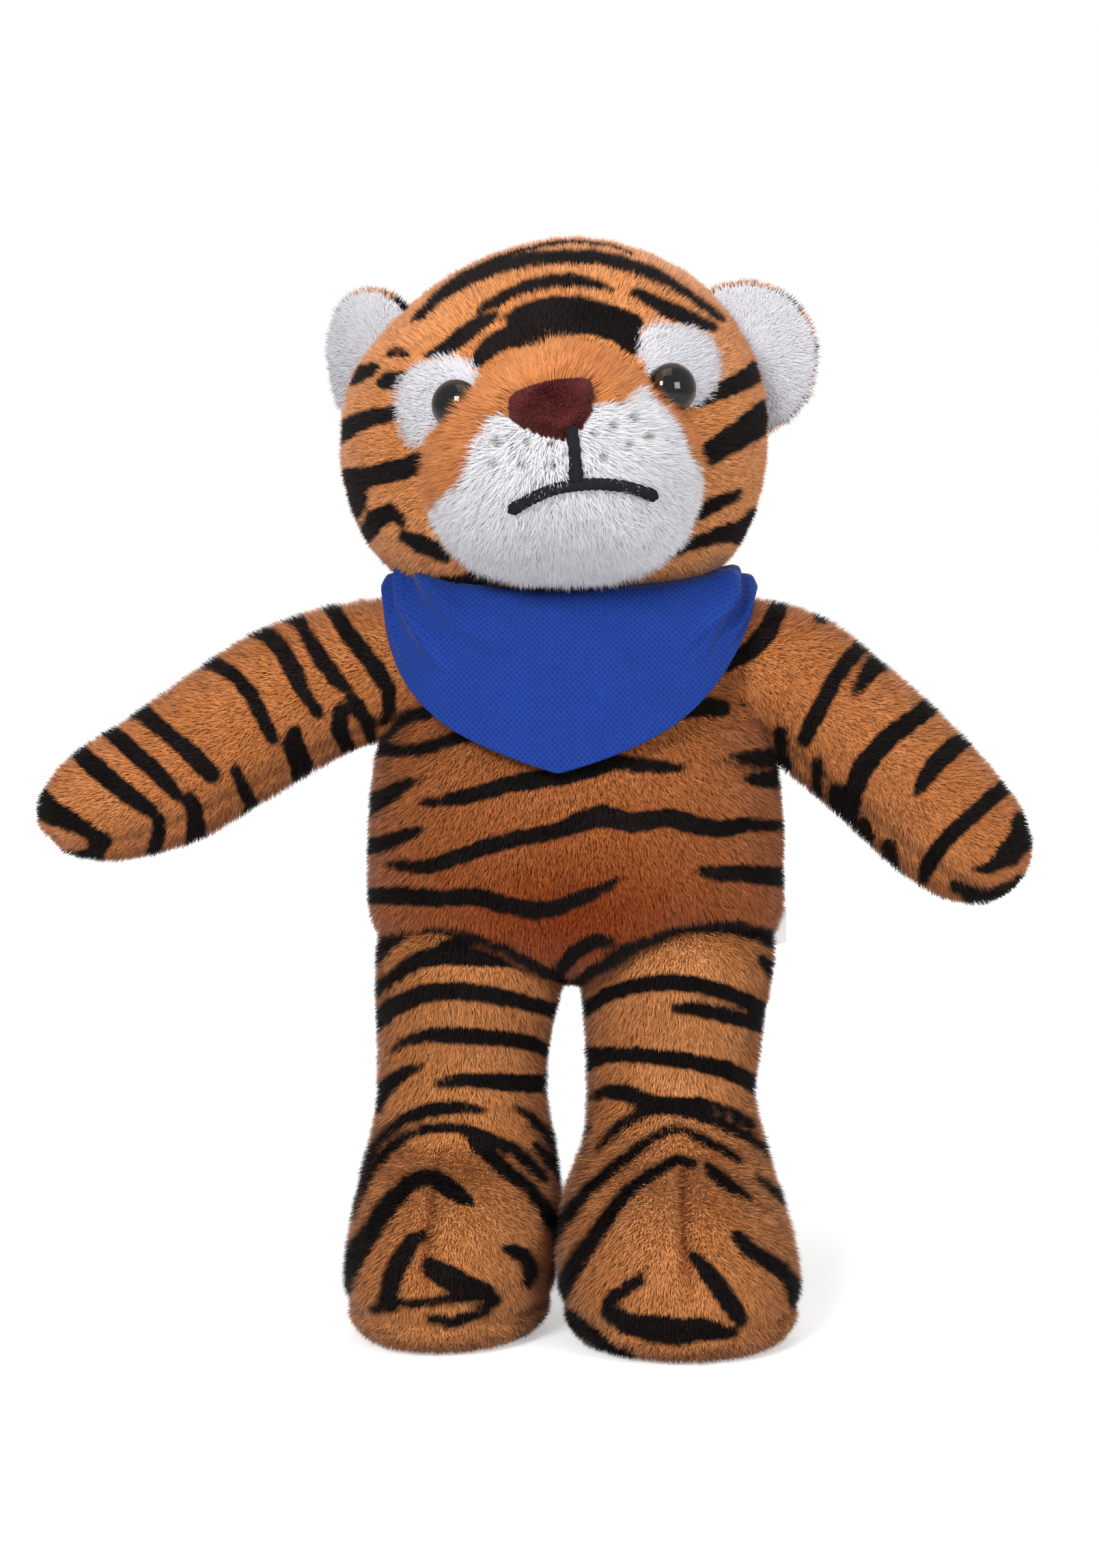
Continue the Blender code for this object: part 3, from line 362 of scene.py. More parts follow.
def plush_finish(
    name, ground, shaded, printed=None, root_shade=0.62, uneven=0.16, ragged=0.5, spread=0.30
):
    """Cloth with a pile: its colour and a darker one in patches, roots darker by painted shade."""
    material, tree, shader = new_finish(name)
    place = own_place(tree)
    patches = ranged(tree, noise(tree, place, PATCHES, 3.0), 0.35, 0.65, 0.0, 1.0)
    specks = ranged(tree, noise(tree, place, SPECKS, 2.0), 0.3, 0.7, 0.0, 0.55)
    colour = mixed(tree, sums(tree, "MULTIPLY", patches, 0.6), ground, shaded)
    colour = mixed(tree, specks, colour, shaded)
    if printed:
        # Painted shade: the "deep" mark darkens the plush towards a red-brown
        colour = mixed(tree, attribute(tree, "deep"), colour, GOLD_PAINTED_SHADE)
        frayed = ranged(tree, noise(tree, place, SPECKS, 3.0), 0.2, 0.8, -ragged, ragged)
        edge = sums(tree, "ADD", attribute(tree, "stripe"), frayed)
        inside = ranged(tree, edge, spread - 0.35, spread + 0.45, 1.0, 0.0)
        colour = mixed(tree, inside, colour, mixed(tree, patches, printed, times(printed, 1.8)))
        sheen = ranged(tree, inside, 0.0, 1.0, GROUND_SHEEN, STRIPE_SHEEN)
        tree.links.new(sheen, shader.inputs["Sheen Weight"])
    # Painted shade in the pile: hairs darken towards their roots, and the cloth under them is as
    # dark as the roots
    light = ranged(tree, attribute(tree, "tip"), 0.0, 1.0, root_shade, 1.0)
    shade = ranged(tree, attribute(tree, "shade"), 0.0, 1.0, 1 - uneven, 1 + uneven)
    light = sums(tree, "MULTIPLY", light, shade)
    grey = node(tree, "ShaderNodeCombineColor", light, light, light).outputs[0]
    dress(shader, mixed(tree, 1.0, colour, grey, "MULTIPLY"), 0.85, 0.05, 0.04)
    surface = node(tree, "ShaderNodeNewGeometry")
    outwards = ranged(tree, surface.outputs["Backfacing"], 0.0, 1.0, 1.0, -1.0)
    normal = node(tree, "ShaderNodeVectorMath", surface.outputs["Normal"], operation="SCALE")
    tree.links.new(outwards, normal.inputs["Scale"])
    tree.links.new(normal.outputs[0], shader.inputs["Normal"])
    return material


tiger_finish = plush_finish("tiger_plush", GOLD, GOLD_SHADED, STRIPE_BLACK, root_shade=0.50, uneven=0.42)

# The pile: how long and wide a hair is and how many stand on a square metre, the shorter pile
# of head and ears, and how far lengths, widths and leans differ
HAIR_LONG, HAIR_WIDE, HAIR_CROWD = 0.0022, 0.00026, 8.5e6
SHORT_HAIR = 0.0019
LEAST_LONG, MOST_LONG, LEAST_WIDE, MOST_WIDE = 0.7, 1.2, 0.8, 1.2
LEAN_SPREAD = 0.3
# How far a hair catches the light along its own way and at random, and how large the tufts are
LIT_ALONG, LIT_APART = 0.25, 0.22
TUFTS = 260.0
seeds = itertools.count(1)

hair_form = bmesh.new()
nib = hair_form.verts.layers.float_vector.new("nib")
tip = hair_form.verts.layers.float.new("tip")
corners = ((0.5, 0, 0), (-0.5, 0, 0), (0, 0, 1))
for place in corners:
    vert = hair_form.verts.new(place)
    vert[nib] = (place[0] * 2, place[2], 0)
    vert[tip] = place[2]
hair_form.faces.new(hair_form.verts)
hair = bpy.data.objects.new("hair", bpy.data.meshes.new("hair"))
hair_form.to_mesh(hair.data)
hair_form.free()


def pile_nodes(long, crowd, lean, stray, swirls):
    """Nodes that plant a pile on a skin, combed the way that the skin's own mark says."""
    tree = bpy.data.node_groups.new("pile", "GeometryNodeTree")
    tree.interface.new_socket("Geometry", in_out="INPUT", socket_type="NodeSocketGeometry")
    tree.interface.new_socket("Geometry", in_out="OUTPUT", socket_type="NodeSocketGeometry")
    cloth = node(tree, "NodeGroupInput").outputs[0]

    def vectors(operation, *values):
        return node(tree, "ShaderNodeVectorMath", *values, operation=operation).outputs[0]

    def scaled(vector, by):
        made = node(tree, "ShaderNodeVectorMath", vector, operation="SCALE")
        if isinstance(by, bpy.types.NodeSocket):
            tree.links.new(by, made.inputs["Scale"])
        else:
            made.inputs["Scale"].default_value = by
        return made.outputs[0]

    def random(low, high, seed):
        made = node(tree, "FunctionNodeRandomValue", data_type="FLOAT")
        made.inputs[2].default_value, made.inputs[3].default_value = low, high
        made.inputs["Seed"].default_value = seed
        return made.outputs[1]

    def marks(name, kind):
        made = node(tree, "GeometryNodeInputNamedAttribute", name, data_type=kind)
        return made.outputs[0]

    def keep(geometry, name, value, kind):
        made = node(
            tree, "GeometryNodeStoreNamedAttribute", geometry, data_type=kind, domain="POINT"
        )
        made.inputs["Name"].default_value = name
        tree.links.new(value, made.inputs["Value"])
        return made.outputs[0]

    crowding = sums(tree, "MULTIPLY", marks("thick", "FLOAT"), crowd)
    planted = node(tree, "GeometryNodeDistributePointsOnFaces", cloth)
    tree.links.new(crowding, planted.inputs["Density"])
    planted.inputs["Seed"].default_value = next(seeds)
    up = planted.outputs["Normal"]
    apart = node(
        tree, "FunctionNodeRandomValue", (-1, -1, -1), (1, 1, 1), data_type="FLOAT_VECTOR"
    )
    apart.inputs["Seed"].default_value = 7
    wish = vectors("ADD", marks("comb", "FLOAT_VECTOR"), scaled(apart.outputs[0], stray))
    spot = node(tree, "GeometryNodeInputPosition").outputs[0]
    clumps = node(tree, "ShaderNodeTexNoise", spot, None, TUFTS, 1.0)
    swirl = vectors("SUBTRACT", clumps.outputs["Color"], (0.5, 0.5, 0.5))
    wish = vectors("ADD", wish, scaled(swirl, swirls))
    dot = node(tree, "ShaderNodeVectorMath", wish, up, operation="DOT_PRODUCT")
    lay = vectors("NORMALIZE", vectors("SUBTRACT", wish, scaled(up, dot.outputs["Value"])))
    turn = random(lean - LEAN_SPREAD, lean + LEAN_SPREAD, 11)
    sine, cosine = sums(tree, "SINE", turn), sums(tree, "COSINE", turn)
    way = vectors("ADD", scaled(up, cosine), scaled(lay, sine))
    face = vectors("SUBTRACT", scaled(up, sine), scaled(lay, cosine))
    turned = node(
        tree, "FunctionNodeAxesToRotation", way, face, primary_axis="Z", secondary_axis="Y"
    ).outputs[0]
    points = keep(planted.outputs["Points"], "shade", random(0.0, 1.0, 3), "FLOAT")
    points = keep(points, "root_uv", marks("OFBake", "FLOAT_VECTOR"), "FLOAT_VECTOR")
    aside = vectors("ADD", scaled(way, LIT_ALONG), scaled(apart.outputs[0], LIT_APART))
    lit = vectors("NORMALIZE", vectors("ADD", up, aside))
    points = keep(points, "lit", lit, "FLOAT_VECTOR")
    high = random(long * LEAST_LONG, long * MOST_LONG, 5)
    high = sums(tree, "MULTIPLY", high, marks("long", "FLOAT"))
    high = sums(tree, "MULTIPLY", high, ranged(tree, clumps.outputs["Fac"], 0.3, 0.7, 0.8, 1.2))
    wide = random(HAIR_WIDE * LEAST_WIDE, HAIR_WIDE * MOST_WIDE, 6)
    size = node(tree, "ShaderNodeCombineXYZ", wide, 1.0, high)
    blade = node(tree, "GeometryNodeObjectInfo", hair)
    hairs = node(tree, "GeometryNodeInstanceOnPoints", points)
    tree.links.new(blade.outputs["Geometry"], hairs.inputs["Instance"])
    tree.links.new(turned, hairs.inputs["Rotation"])
    tree.links.new(size.outputs[0], hairs.inputs["Scale"])
    single = node(tree, "GeometryNodeRealizeInstances", hairs.outputs[0]).outputs[0]
    under = node(tree, "GeometryNodeSampleNearestSurface", cloth, data_type="FLOAT")
    tree.links.new(marks("stripe", "FLOAT"), under.inputs["Value"])
    printed = keep(single, "stripe", under.outputs["Value"], "FLOAT")
    both = node(tree, "GeometryNodeJoinGeometry")
    tree.links.new(printed, both.inputs[0])
    tree.links.new(cloth, both.inputs[0])
    node(tree, "NodeGroupOutput", both.outputs[0])
    return tree


# How wide a hair is on its cover's map, and how high the soles' cloth lies above the floor
HAIR_ON_MAP, OFF_FLOOR = 0.0016, 0.0002


def grown_pile(mesh_object, tree):
    """The object's mesh with its pile planted, its shading and its own map set."""
    planting = mesh_object.modifiers.new("pile", "NODES")
    planting.node_group = tree
    graph = bpy.context.evaluated_depsgraph_get()
    mesh = bpy.data.meshes.new_from_object(mesh_object.evaluated_get(graph))
    mesh_object.modifiers.clear()
    bare = mesh_object.data
    mesh.materials.clear()
    mesh.materials.append(bare.materials[0])
    mesh.polygons.foreach_set("material_index", np.zeros(len(mesh.polygons), np.int32))
    mesh_object.data = mesh
    bpy.data.meshes.remove(bare)
    count = len(mesh.vertices)
    places = np.zeros(count * 3, np.float32)
    mesh.vertices.foreach_get("co", places)
    places[2::3] = np.maximum(places[2::3], OFF_FLOOR)
    mesh.vertices.foreach_set("co", places)
    lit = np.zeros(count * 3, np.float32)
    mesh.attributes["lit"].data.foreach_get("vector", lit)
    normals = np.zeros(count * 3, np.float32)
    mesh.vertex_normals.foreach_get("vector", normals)
    lit, normals = lit.reshape(-1, 3), normals.reshape(-1, 3)
    planted = np.linalg.norm(lit, axis=1) > 0.5
    mesh.shade_smooth()
    mesh.normals_split_custom_set_from_vertices(np.where(planted[:, None], lit, normals))
    roots = np.zeros(count * 3, np.float32)
    mesh.attributes["root_uv"].data.foreach_get("vector", roots)
    nibs = np.zeros(count * 3, np.float32)
    mesh.attributes["nib"].data.foreach_get("vector", nibs)
    spread = roots.reshape(-1, 3)[:, :2] + nibs.reshape(-1, 3)[:, :2] * HAIR_ON_MAP
    loops = np.zeros(len(mesh.loops), np.int32)
    mesh.loops.foreach_get("vertex_index", loops)
    layer = mesh.uv_layers["OFBake"]
    flat = np.zeros(len(mesh.loops) * 2, np.float32)
    layer.uv.foreach_get("vector", flat)
    flat = np.where(planted[loops][:, None], spread[loops], flat.reshape(-1, 2))
    layer.uv.foreach_set("vector", flat.astype(np.float32).ravel())
    for name in ("lit", "root_uv", "nib", "comb", "thick", "long"):
        mesh.attributes.remove(mesh.attributes[name])


def shown(name, bm, material):
    """An object made from a bmesh, in the scene."""
    mesh = bpy.data.meshes.new(name)
    bm.to_mesh(mesh)
    bm.free()
    mesh.shade_smooth()
    mesh.materials.append(material)
    made = bpy.data.objects.new(name, mesh)
    bpy.context.scene.collection.objects.link(made)
    return made


def plush(
    name, bm, body, nodes, material=tiger_finish, long=HAIR_LONG,
    crowd=HAIR_CROWD, lean=0.66, stray=0.5, swirls=0.7,
):
    """A cover of plush on a body, with its pile, which stands for some solids of the frame."""
    for mark, value in (("thick", 1.0), ("long", 1.0), ("stripe", 9.0), ("deep", 0.0)):
        if bm.verts.layers.float.get(mark) is None:
            marked(bm, mark, value)
    made = shown(name, bm, material)
    grown_pile(made, pile_nodes(long, crowd, lean, stray, swirls))
    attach(made, body)
    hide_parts(*nodes)


def soft(distance, low, high):
    """A smooth step from none to one."""
    t = np.clip((distance - low) / (high - low), 0, 1)
    return t * t * (3 - 2 * t)


torso_skin = skin(
    [
        level(
            middle + Vector((0, 0, TORSO_FOOT + TORSO_TALL * high)),
            TORSO_WIDE / 2 * wide,
            TORSO_DEEP / 2 * deep,
        )
        for high, wide, deep in TORSO_SHARES
    ],
    TORSO_AROUND,
    TORSO_ALONG,
)
places = places_of(torso_skin) - np.array(middle)
below = soft(CREASE_TOP - places[:, 2], 0, CREASE_FADE) * (places[:, 1] < 0)
pressed(torso_skin, places[:, 0] - CREASE_X, CREASE_DEEP * below, CREASE_WIDE)
places = places_of(torso_skin) - np.array(middle)
fold = np.interp(places[:, 0], *zip(*HIP_FOLD))
forward = np.clip(-places[:, 1] / (TORSO_DEEP / 2), 0, 1)
tucked = soft(fold - places[:, 2], -TUCK_RISE * 0.3, TUCK_RISE)
places[:, 1] += BELLY_TUCK * tucked * forward
put(torso_skin, places + np.array(middle))
# Painted shade on the torso: some over the whole front, most on the lower belly between the thighs
patch_x, patch_z = (places[:, 0] - SHADE_X) / SHADE_WIDE, (places[:, 2] - SHADE_Z) / SHADE_TALL
painted_shade = SHADE_ALL + SHADE_MORE * np.exp(-(patch_x**2) - patch_z**2)
marked(torso_skin, "deep", painted_shade * soft(-places[:, 1], *SHADE_SIDE))
places = places_of(torso_skin)
marked(torso_skin, "stripe", stripe_gap(places, read(BELLY_VIEW, HIP_STRIPES + BELLY_STRIPES)))
combed(torso_skin, (0.1, 0, -1.0))

# The scarf lies on the shoulders, so the cloth under it has no pile to push through
SCARF_TIP_HEIGHT, SCARF_SLOPE, SCARF_MARGIN = 0.1395, 0.62, 0.004
under_scarf = places[:, 2] - SCARF_TIP_HEIGHT - np.abs(places[:, 0] - middle.x) * SCARF_SLOPE
marked(torso_skin, "thick", under_scarf < SCARF_MARGIN)


def front(middles):
    return middles[:, 1] < middle.y + SIDE_SEAM_BACK


belly = part_of(torso_skin, front)
plush("torso_front", belly, "torso", ["torso_front_panel", "torso_stuffing"])
for side, name in SIDES.items():
    back = part_of(torso_skin, lambda spots: ~front(spots) & ((spots[:, 0] - middle.x) * side > 0))
    plush(f"torso_back_{name}", back, "torso", [f"torso_back_{name}_panel"])

# Arms
# Two stuffed tubes that reach out and down from the shoulders, each of an upper and an under
# panel. The seam between them runs along the front and breaks the stripes.
SHOULDER_RADIUS = 0.0163
ARM_LONG, ARM_THICK, ARM_DEEP = 0.0900, 0.0350, 0.0332
ARM_AROUND, ARM_ALONG = 72, 84
ARM_SEAM_TURN = math.radians(42)
# How much painted shade darkens the arms all over
ARM_PAINTED_SHADE = 0.26
ARM_SHARES = {
    -1: (
        (0.135, -0.018, 0.97),
        (0.280, -0.066, 1.01),
        (0.470, -0.182, 1.00),
        (0.668, -0.304, 0.94),
        (0.792, -0.352, 0.83),
        (0.885, -0.380, 0.62),
        (0.946, -0.392, 0.24),
        (0.953, -0.394, 0.00),
    ),
    1: (
        (0.112, -0.028, 0.97),
        (0.240, -0.128, 0.99),
        (0.401, -0.268, 0.98),
        (0.546, -0.412, 0.93),
        (0.625, -0.485, 0.81),
        (0.672, -0.530, 0.60),
        (0.702, -0.560, 0.24),
        (0.707, -0.565, 0.00),
    ),
}
ARM_VIEWS = {-1: (40, 830, 2.703), 1: (1000, 830, 2.904)}
ARM_STRIPES = {
    -1: (
        ((50, 920, 90), (110, 970, 80), (180, 1000, 70), (240, 1040, 50), (320, 1060, 20)),
        ((290, 1080, 80), (270, 1130, 60), (200, 1140, 40), (140, 1120, 20)),
        ((215, 745, 60), (280, 800, 70), (350, 860, 65), (430, 920, 60), (490, 960, 50)),
        ((300, 640, 45), (370, 690, 60), (440, 750, 60), (510, 810, 60), (560, 860, 55),
         (595, 910, 30)),
        ((400, 580, 50), (470, 590, 60), (540, 650, 55), (620, 710, 60), (680, 770, 70),
         (730, 820, 60)),
        ((680, 395, 30), (760, 395, 45), (830, 440, 50), (890, 510, 55), (930, 590, 50),
         (970, 680, 40)),
        ((890, 265, 40), (950, 275, 55), (1010, 330, 60), (1060, 420, 60), (1095, 500, 50),
         (1150, 575, 40)),
        ((1025, 200, 40), (1080, 230, 45), (1130, 310, 50), (1180, 390, 60), (1230, 450, 55),
         (1270, 490, 30)),
        ((1170, 155, 35), (1220, 190, 55), (1270, 270, 55), (1330, 340, 60), (1390, 420, 60),
         (1430, 480, 50), (1430, 560, 45), (1400, 610, 20)),
        ((1345, 95, 25), (1395, 120, 50)),
        ((640, 910, 50), (665, 970, 60), (665, 1050, 65), (640, 1110, 50)),
        ((520, 990, 40), (520, 1050, 50), (500, 1110, 45), (480, 1160, 30)),
        ((820, 790, 30), (850, 860, 45), (880, 930, 45), (860, 990, 30)),
        ((1060, 640, 40), (1050, 700, 80), (1080, 770, 80), (1080, 850, 60)),
        ((1240, 560, 50), (1230, 630, 60), (1270, 720, 50)),
        ((1290, 530, 50), (1340, 600, 50), (1360, 680, 30)),
    ),
    1: (
        ((425, 140, 60), (400, 190, 70), (360, 280, 75), (300, 350, 70), (230, 390, 60),
         (150, 440, 40)),
        ((580, 220, 44), (590, 230, 50)),
        ((760, 330, 50), (700, 400, 60), (640, 480, 60), (590, 580, 60), (550, 660, 60),
         (520, 735, 50)),
        ((840, 400, 80), (790, 450, 65), (740, 520, 40), (715, 555, 15)),
        ((1060, 590, 70), (980, 650, 70), (890, 710, 75), (820, 780, 80), (760, 860, 80),
         (730, 950, 70), (720, 1050, 50), (735, 1110, 20)),
        ((1200, 740, 60), (1130, 780, 75), (1060, 850, 70), (1010, 930, 50), (990, 970, 20)),
        ((1370, 930, 60), (1300, 990, 60), (1220, 1060, 60), (1140, 1130, 60), (1080, 1200, 60),
         (1040, 1270, 60), (1030, 1320, 40)),
        ((1430, 1090, 80), (1420, 1160, 100), (1370, 1220, 90), (1310, 1270, 40),
         (1240, 1280, 15)),
        ((1160, 1340, 40), (1220, 1380, 60), (1300, 1385, 55), (1380, 1360, 50), (1430, 1310, 30)),
        ((880, 1180, 50), (900, 1250, 50), (930, 1320, 30)),
        ((780, 1080, 40), (790, 1140, 50), (800, 1190, 30)),
        ((660, 940, 60), (660, 1010, 60), (680, 1060, 30)),
        ((580, 820, 40), (575, 890, 45), (580, 960, 30)),
        ((420, 690, 45), (420, 760, 50), (450, 840, 40)),
        ((240, 580, 40), (260, 630, 40), (300, 690, 25)),
    ),
}
SEAM_DEEP, SEAM_WIDE = 0.0009, 0.0016
DOME_SHARES = (1.0, 0.92, 0.70, 0.38, 0.0)


def domed(start, way, radius):
    """Middles and half thicknesses of a round end, from its pole to its widest."""
    return [
        (start - way * radius * share, radius * math.sqrt(1 - share**2)) for share in DOME_SHARES
    ]


def tube_sections(line, flatness, square):
    """Sections square to a line of (middle, half thickness), flatter along one way."""
    sections = []
    for number, (spot, size) in enumerate(line):
        run = line[min(number + 1, len(line) - 1)][0] - line[max(number - 1, 0)][0]
        across = run.normalized().cross(square).normalized()
        size = max(size - PILE_STAND, 0)
        sections.append((spot, across * size, square * size * flatness))
    return sections


for side, name in SIDES.items():
    shoulder = joint[f"arm_{name}_raise"]
    line = domed(shoulder, Vector((side, 0, 0)), SHOULDER_RADIUS)
    for out, up, size in ARM_SHARES[side]:
        line.append((shoulder + Vector((side * out, 0, up)) * ARM_LONG, ARM_THICK / 2 * size))
    sections = tube_sections(line, ARM_DEEP / ARM_THICK, Vector((0, 1, 0)))
    arm_skin = skin(sections, ARM_AROUND, ARM_ALONG)
    along = (line[-5][0] - shoulder).normalized()
    square = along.cross(Vector((0, side, 0)))
    seam_way = np.array(Matrix.Rotation(side * ARM_SEAM_TURN, 3, along) @ square)
    seam_gap = (places_of(arm_skin) - np.array(shoulder)) @ seam_way
    pressed(arm_skin, seam_gap, SEAM_DEEP, SEAM_WIDE)
    stripes = read(ARM_VIEWS[side], ARM_STRIPES[side])
    marked(arm_skin, "stripe", stripe_gap(places_of(arm_skin), stripes))
    # Painted shade all over the arm, through the "deep" mark
    marked(arm_skin, "deep", ARM_PAINTED_SHADE)
    combed(arm_skin, along)
    for half, way in (("upper", 1), ("under", -1)):
        cloth = part_of(arm_skin, lambda spots: (spots - np.array(shoulder)) @ seam_way * way > 0)
        solids = [f"arm_{name}_{half}_panel"] + [f"arm_{name}_stuffing"] * (half == "upper")
        plush(f"arm_{name}_{half}", cloth, f"arm_{name}", solids)

# Legs and feet
# Short legs that end in large feet, each of an outer and an inner panel that meet down the toe,
# with a flat sole that bulges under them. Pellets in the feet make the tiger stand.
FOOT_LONG = 0.0670
FOOT_WIDES = {-1: 0.0488, 1: 0.0560}
FEET_SPLAY = {-1: 0.0005, 1: 0.0016}
FEET_BACK = {-1: 0.0060, 1: -0.0020}
FOOT_TURNS = {-1: math.radians(9), 1: 0.0}
SOLE_RISE = 0.0085
TOE_FROM, TOE_TO, TOE_TOP = 0.012, 0.024, 0.05
LEG_AROUND, LEG_ALONG = 96, 110
# Each thigh and shin: height, how far forward its middle is, half depth, then the middle and the
# half width of the right one and of the left one
LEG_SECTIONS = (
    (0.1080, 0.0010, 0.0000, -0.0255, 0.0000, 0.0230, 0.0000),
    (0.1070, 0.0010, 0.0080, -0.0255, 0.0080, 0.0230, 0.0085),
    (0.1020, 0.0015, 0.0160, -0.0250, 0.0155, 0.0230, 0.0160),
    (0.0960, 0.0025, 0.0215, -0.0243, 0.0200, 0.0232, 0.0205),
    (0.0900, 0.0035, 0.0245, -0.0240, 0.0224, 0.0233, 0.0232),
    (0.0830, 0.0035, 0.0250, -0.0244, 0.0225, 0.0232, 0.0228),
    (0.0740, 0.0025, 0.0232, -0.0255, 0.0214, 0.0229, 0.0216),
    (0.0640, 0.0015, 0.0212, -0.0263, 0.0205, 0.0226, 0.0207),
    (0.0540, 0.0020, 0.0208, -0.0266, 0.0202, 0.0222, 0.0201),
)
# Each foot: share of the hip's height, depth, how far forward its middle is and how far it is
# towards the other foot, then the width of the right one and of the left one
FOOT_SHARES = (
    (0.505, 0.70, 0.070, 0.0012, 0.892, 0.771),
    (0.430, 0.84, 0.135, 0.0016, 0.945, 0.850),
    (0.340, 0.935, 0.190, 0.0018, 0.997, 0.948),
    (0.245, 0.985, 0.220, 0.0011, 1.020, 0.999),
    (0.165, 1.00, 0.225, 0.0004, 1.016, 1.014),
    (0.085, 0.975, 0.220, 0.0000, 0.975, 0.985),
    (0.035, 0.91, 0.210, 0.0000, 0.90, 0.91),
    (0.005, 0.76, 0.200, 0.0000, 0.74, 0.74),
    (0.004, 0.42, 0.200, 0.0000, 0.40, 0.40),
    (0.004, 0.00, 0.200, 0.0000, 0.00, 0.00),
)
LEGS_VIEW = (500, 1330, 2.24)
FOOT_VIEWS = {-1: (490, 1560, 3.733), 1: (800, 1560, 3.564)}
HIGH_LEG_STRIPES = {
    -1: (
        ((150, 860, 50), (180, 820, 40), (240, 780, 30), (300, 760, 10)),
        ((150, 960, 30), (200, 920, 35), (280, 860, 45), (350, 845, 50), (450, 855, 40),
         (550, 860, 35), (640, 880, 30), (750, 930, 25)),
        ((360, 820, 25), (430, 800, 30), (500, 805, 25), (560, 830, 20), (620, 850, 12)),
        ((150, 1070, 40), (200, 1010, 50), (300, 960, 48), (400, 950, 48), (500, 962, 45),
         (600, 985, 42), (700, 1015, 40)),
    ),
    1: (
        ((765, 905, 18), (850, 852, 30), (920, 808, 30), (1000, 772, 30), (1100, 750, 35),
         (1200, 747, 38), (1300, 767, 42), (1400, 808, 50)),
        ((1335, 858, 25), (1362, 885, 40), (1380, 915, 30)),
    ),
}
LEG_STRIPES = {
    -1: (
        ((170, 470, 12), (220, 430, 25), (290, 410, 40), (400, 410, 48), (520, 420, 48),
         (620, 440, 42), (685, 480, 30)),
        ((115, 650, 50), (160, 580, 45), (220, 535, 35), (270, 510, 15)),
        ((320, 570, 25), (400, 560, 40), (500, 565, 50), (600, 575, 52), (665, 570, 55)),
    ),
    1: (
        ((750, 230, 50), (850, 170, 35), (950, 110, 30), (1050, 65, 30), (1150, 50, 35),
         (1250, 60, 35), (1350, 85, 38), (1440, 110, 45)),
        ((1365, 170, 15), (1400, 200, 40), (1415, 235, 20)),
        ((800, 340, 40), (860, 290, 40), (950, 255, 42), (1050, 240, 45), (1150, 245, 45),
         (1250, 270, 42), (1320, 300, 40), (1385, 340, 50)),
        ((1090, 320, 20), (1150, 325, 38), (1230, 340, 40), (1300, 360, 42), (1385, 385, 50)),
        ((795, 500, 80), (860, 480, 50), (950, 475, 42), (1050, 485, 45), (1150, 500, 50),
         (1250, 525, 52), (1320, 560, 50), (1370, 605, 45)),
        ((830, 620, 20), (880, 600, 40), (940, 605, 50), (1000, 630, 40), (1080, 640, 35),
         (1180, 640, 35), (1260, 665, 25), (1340, 710, 25)),
    ),
}
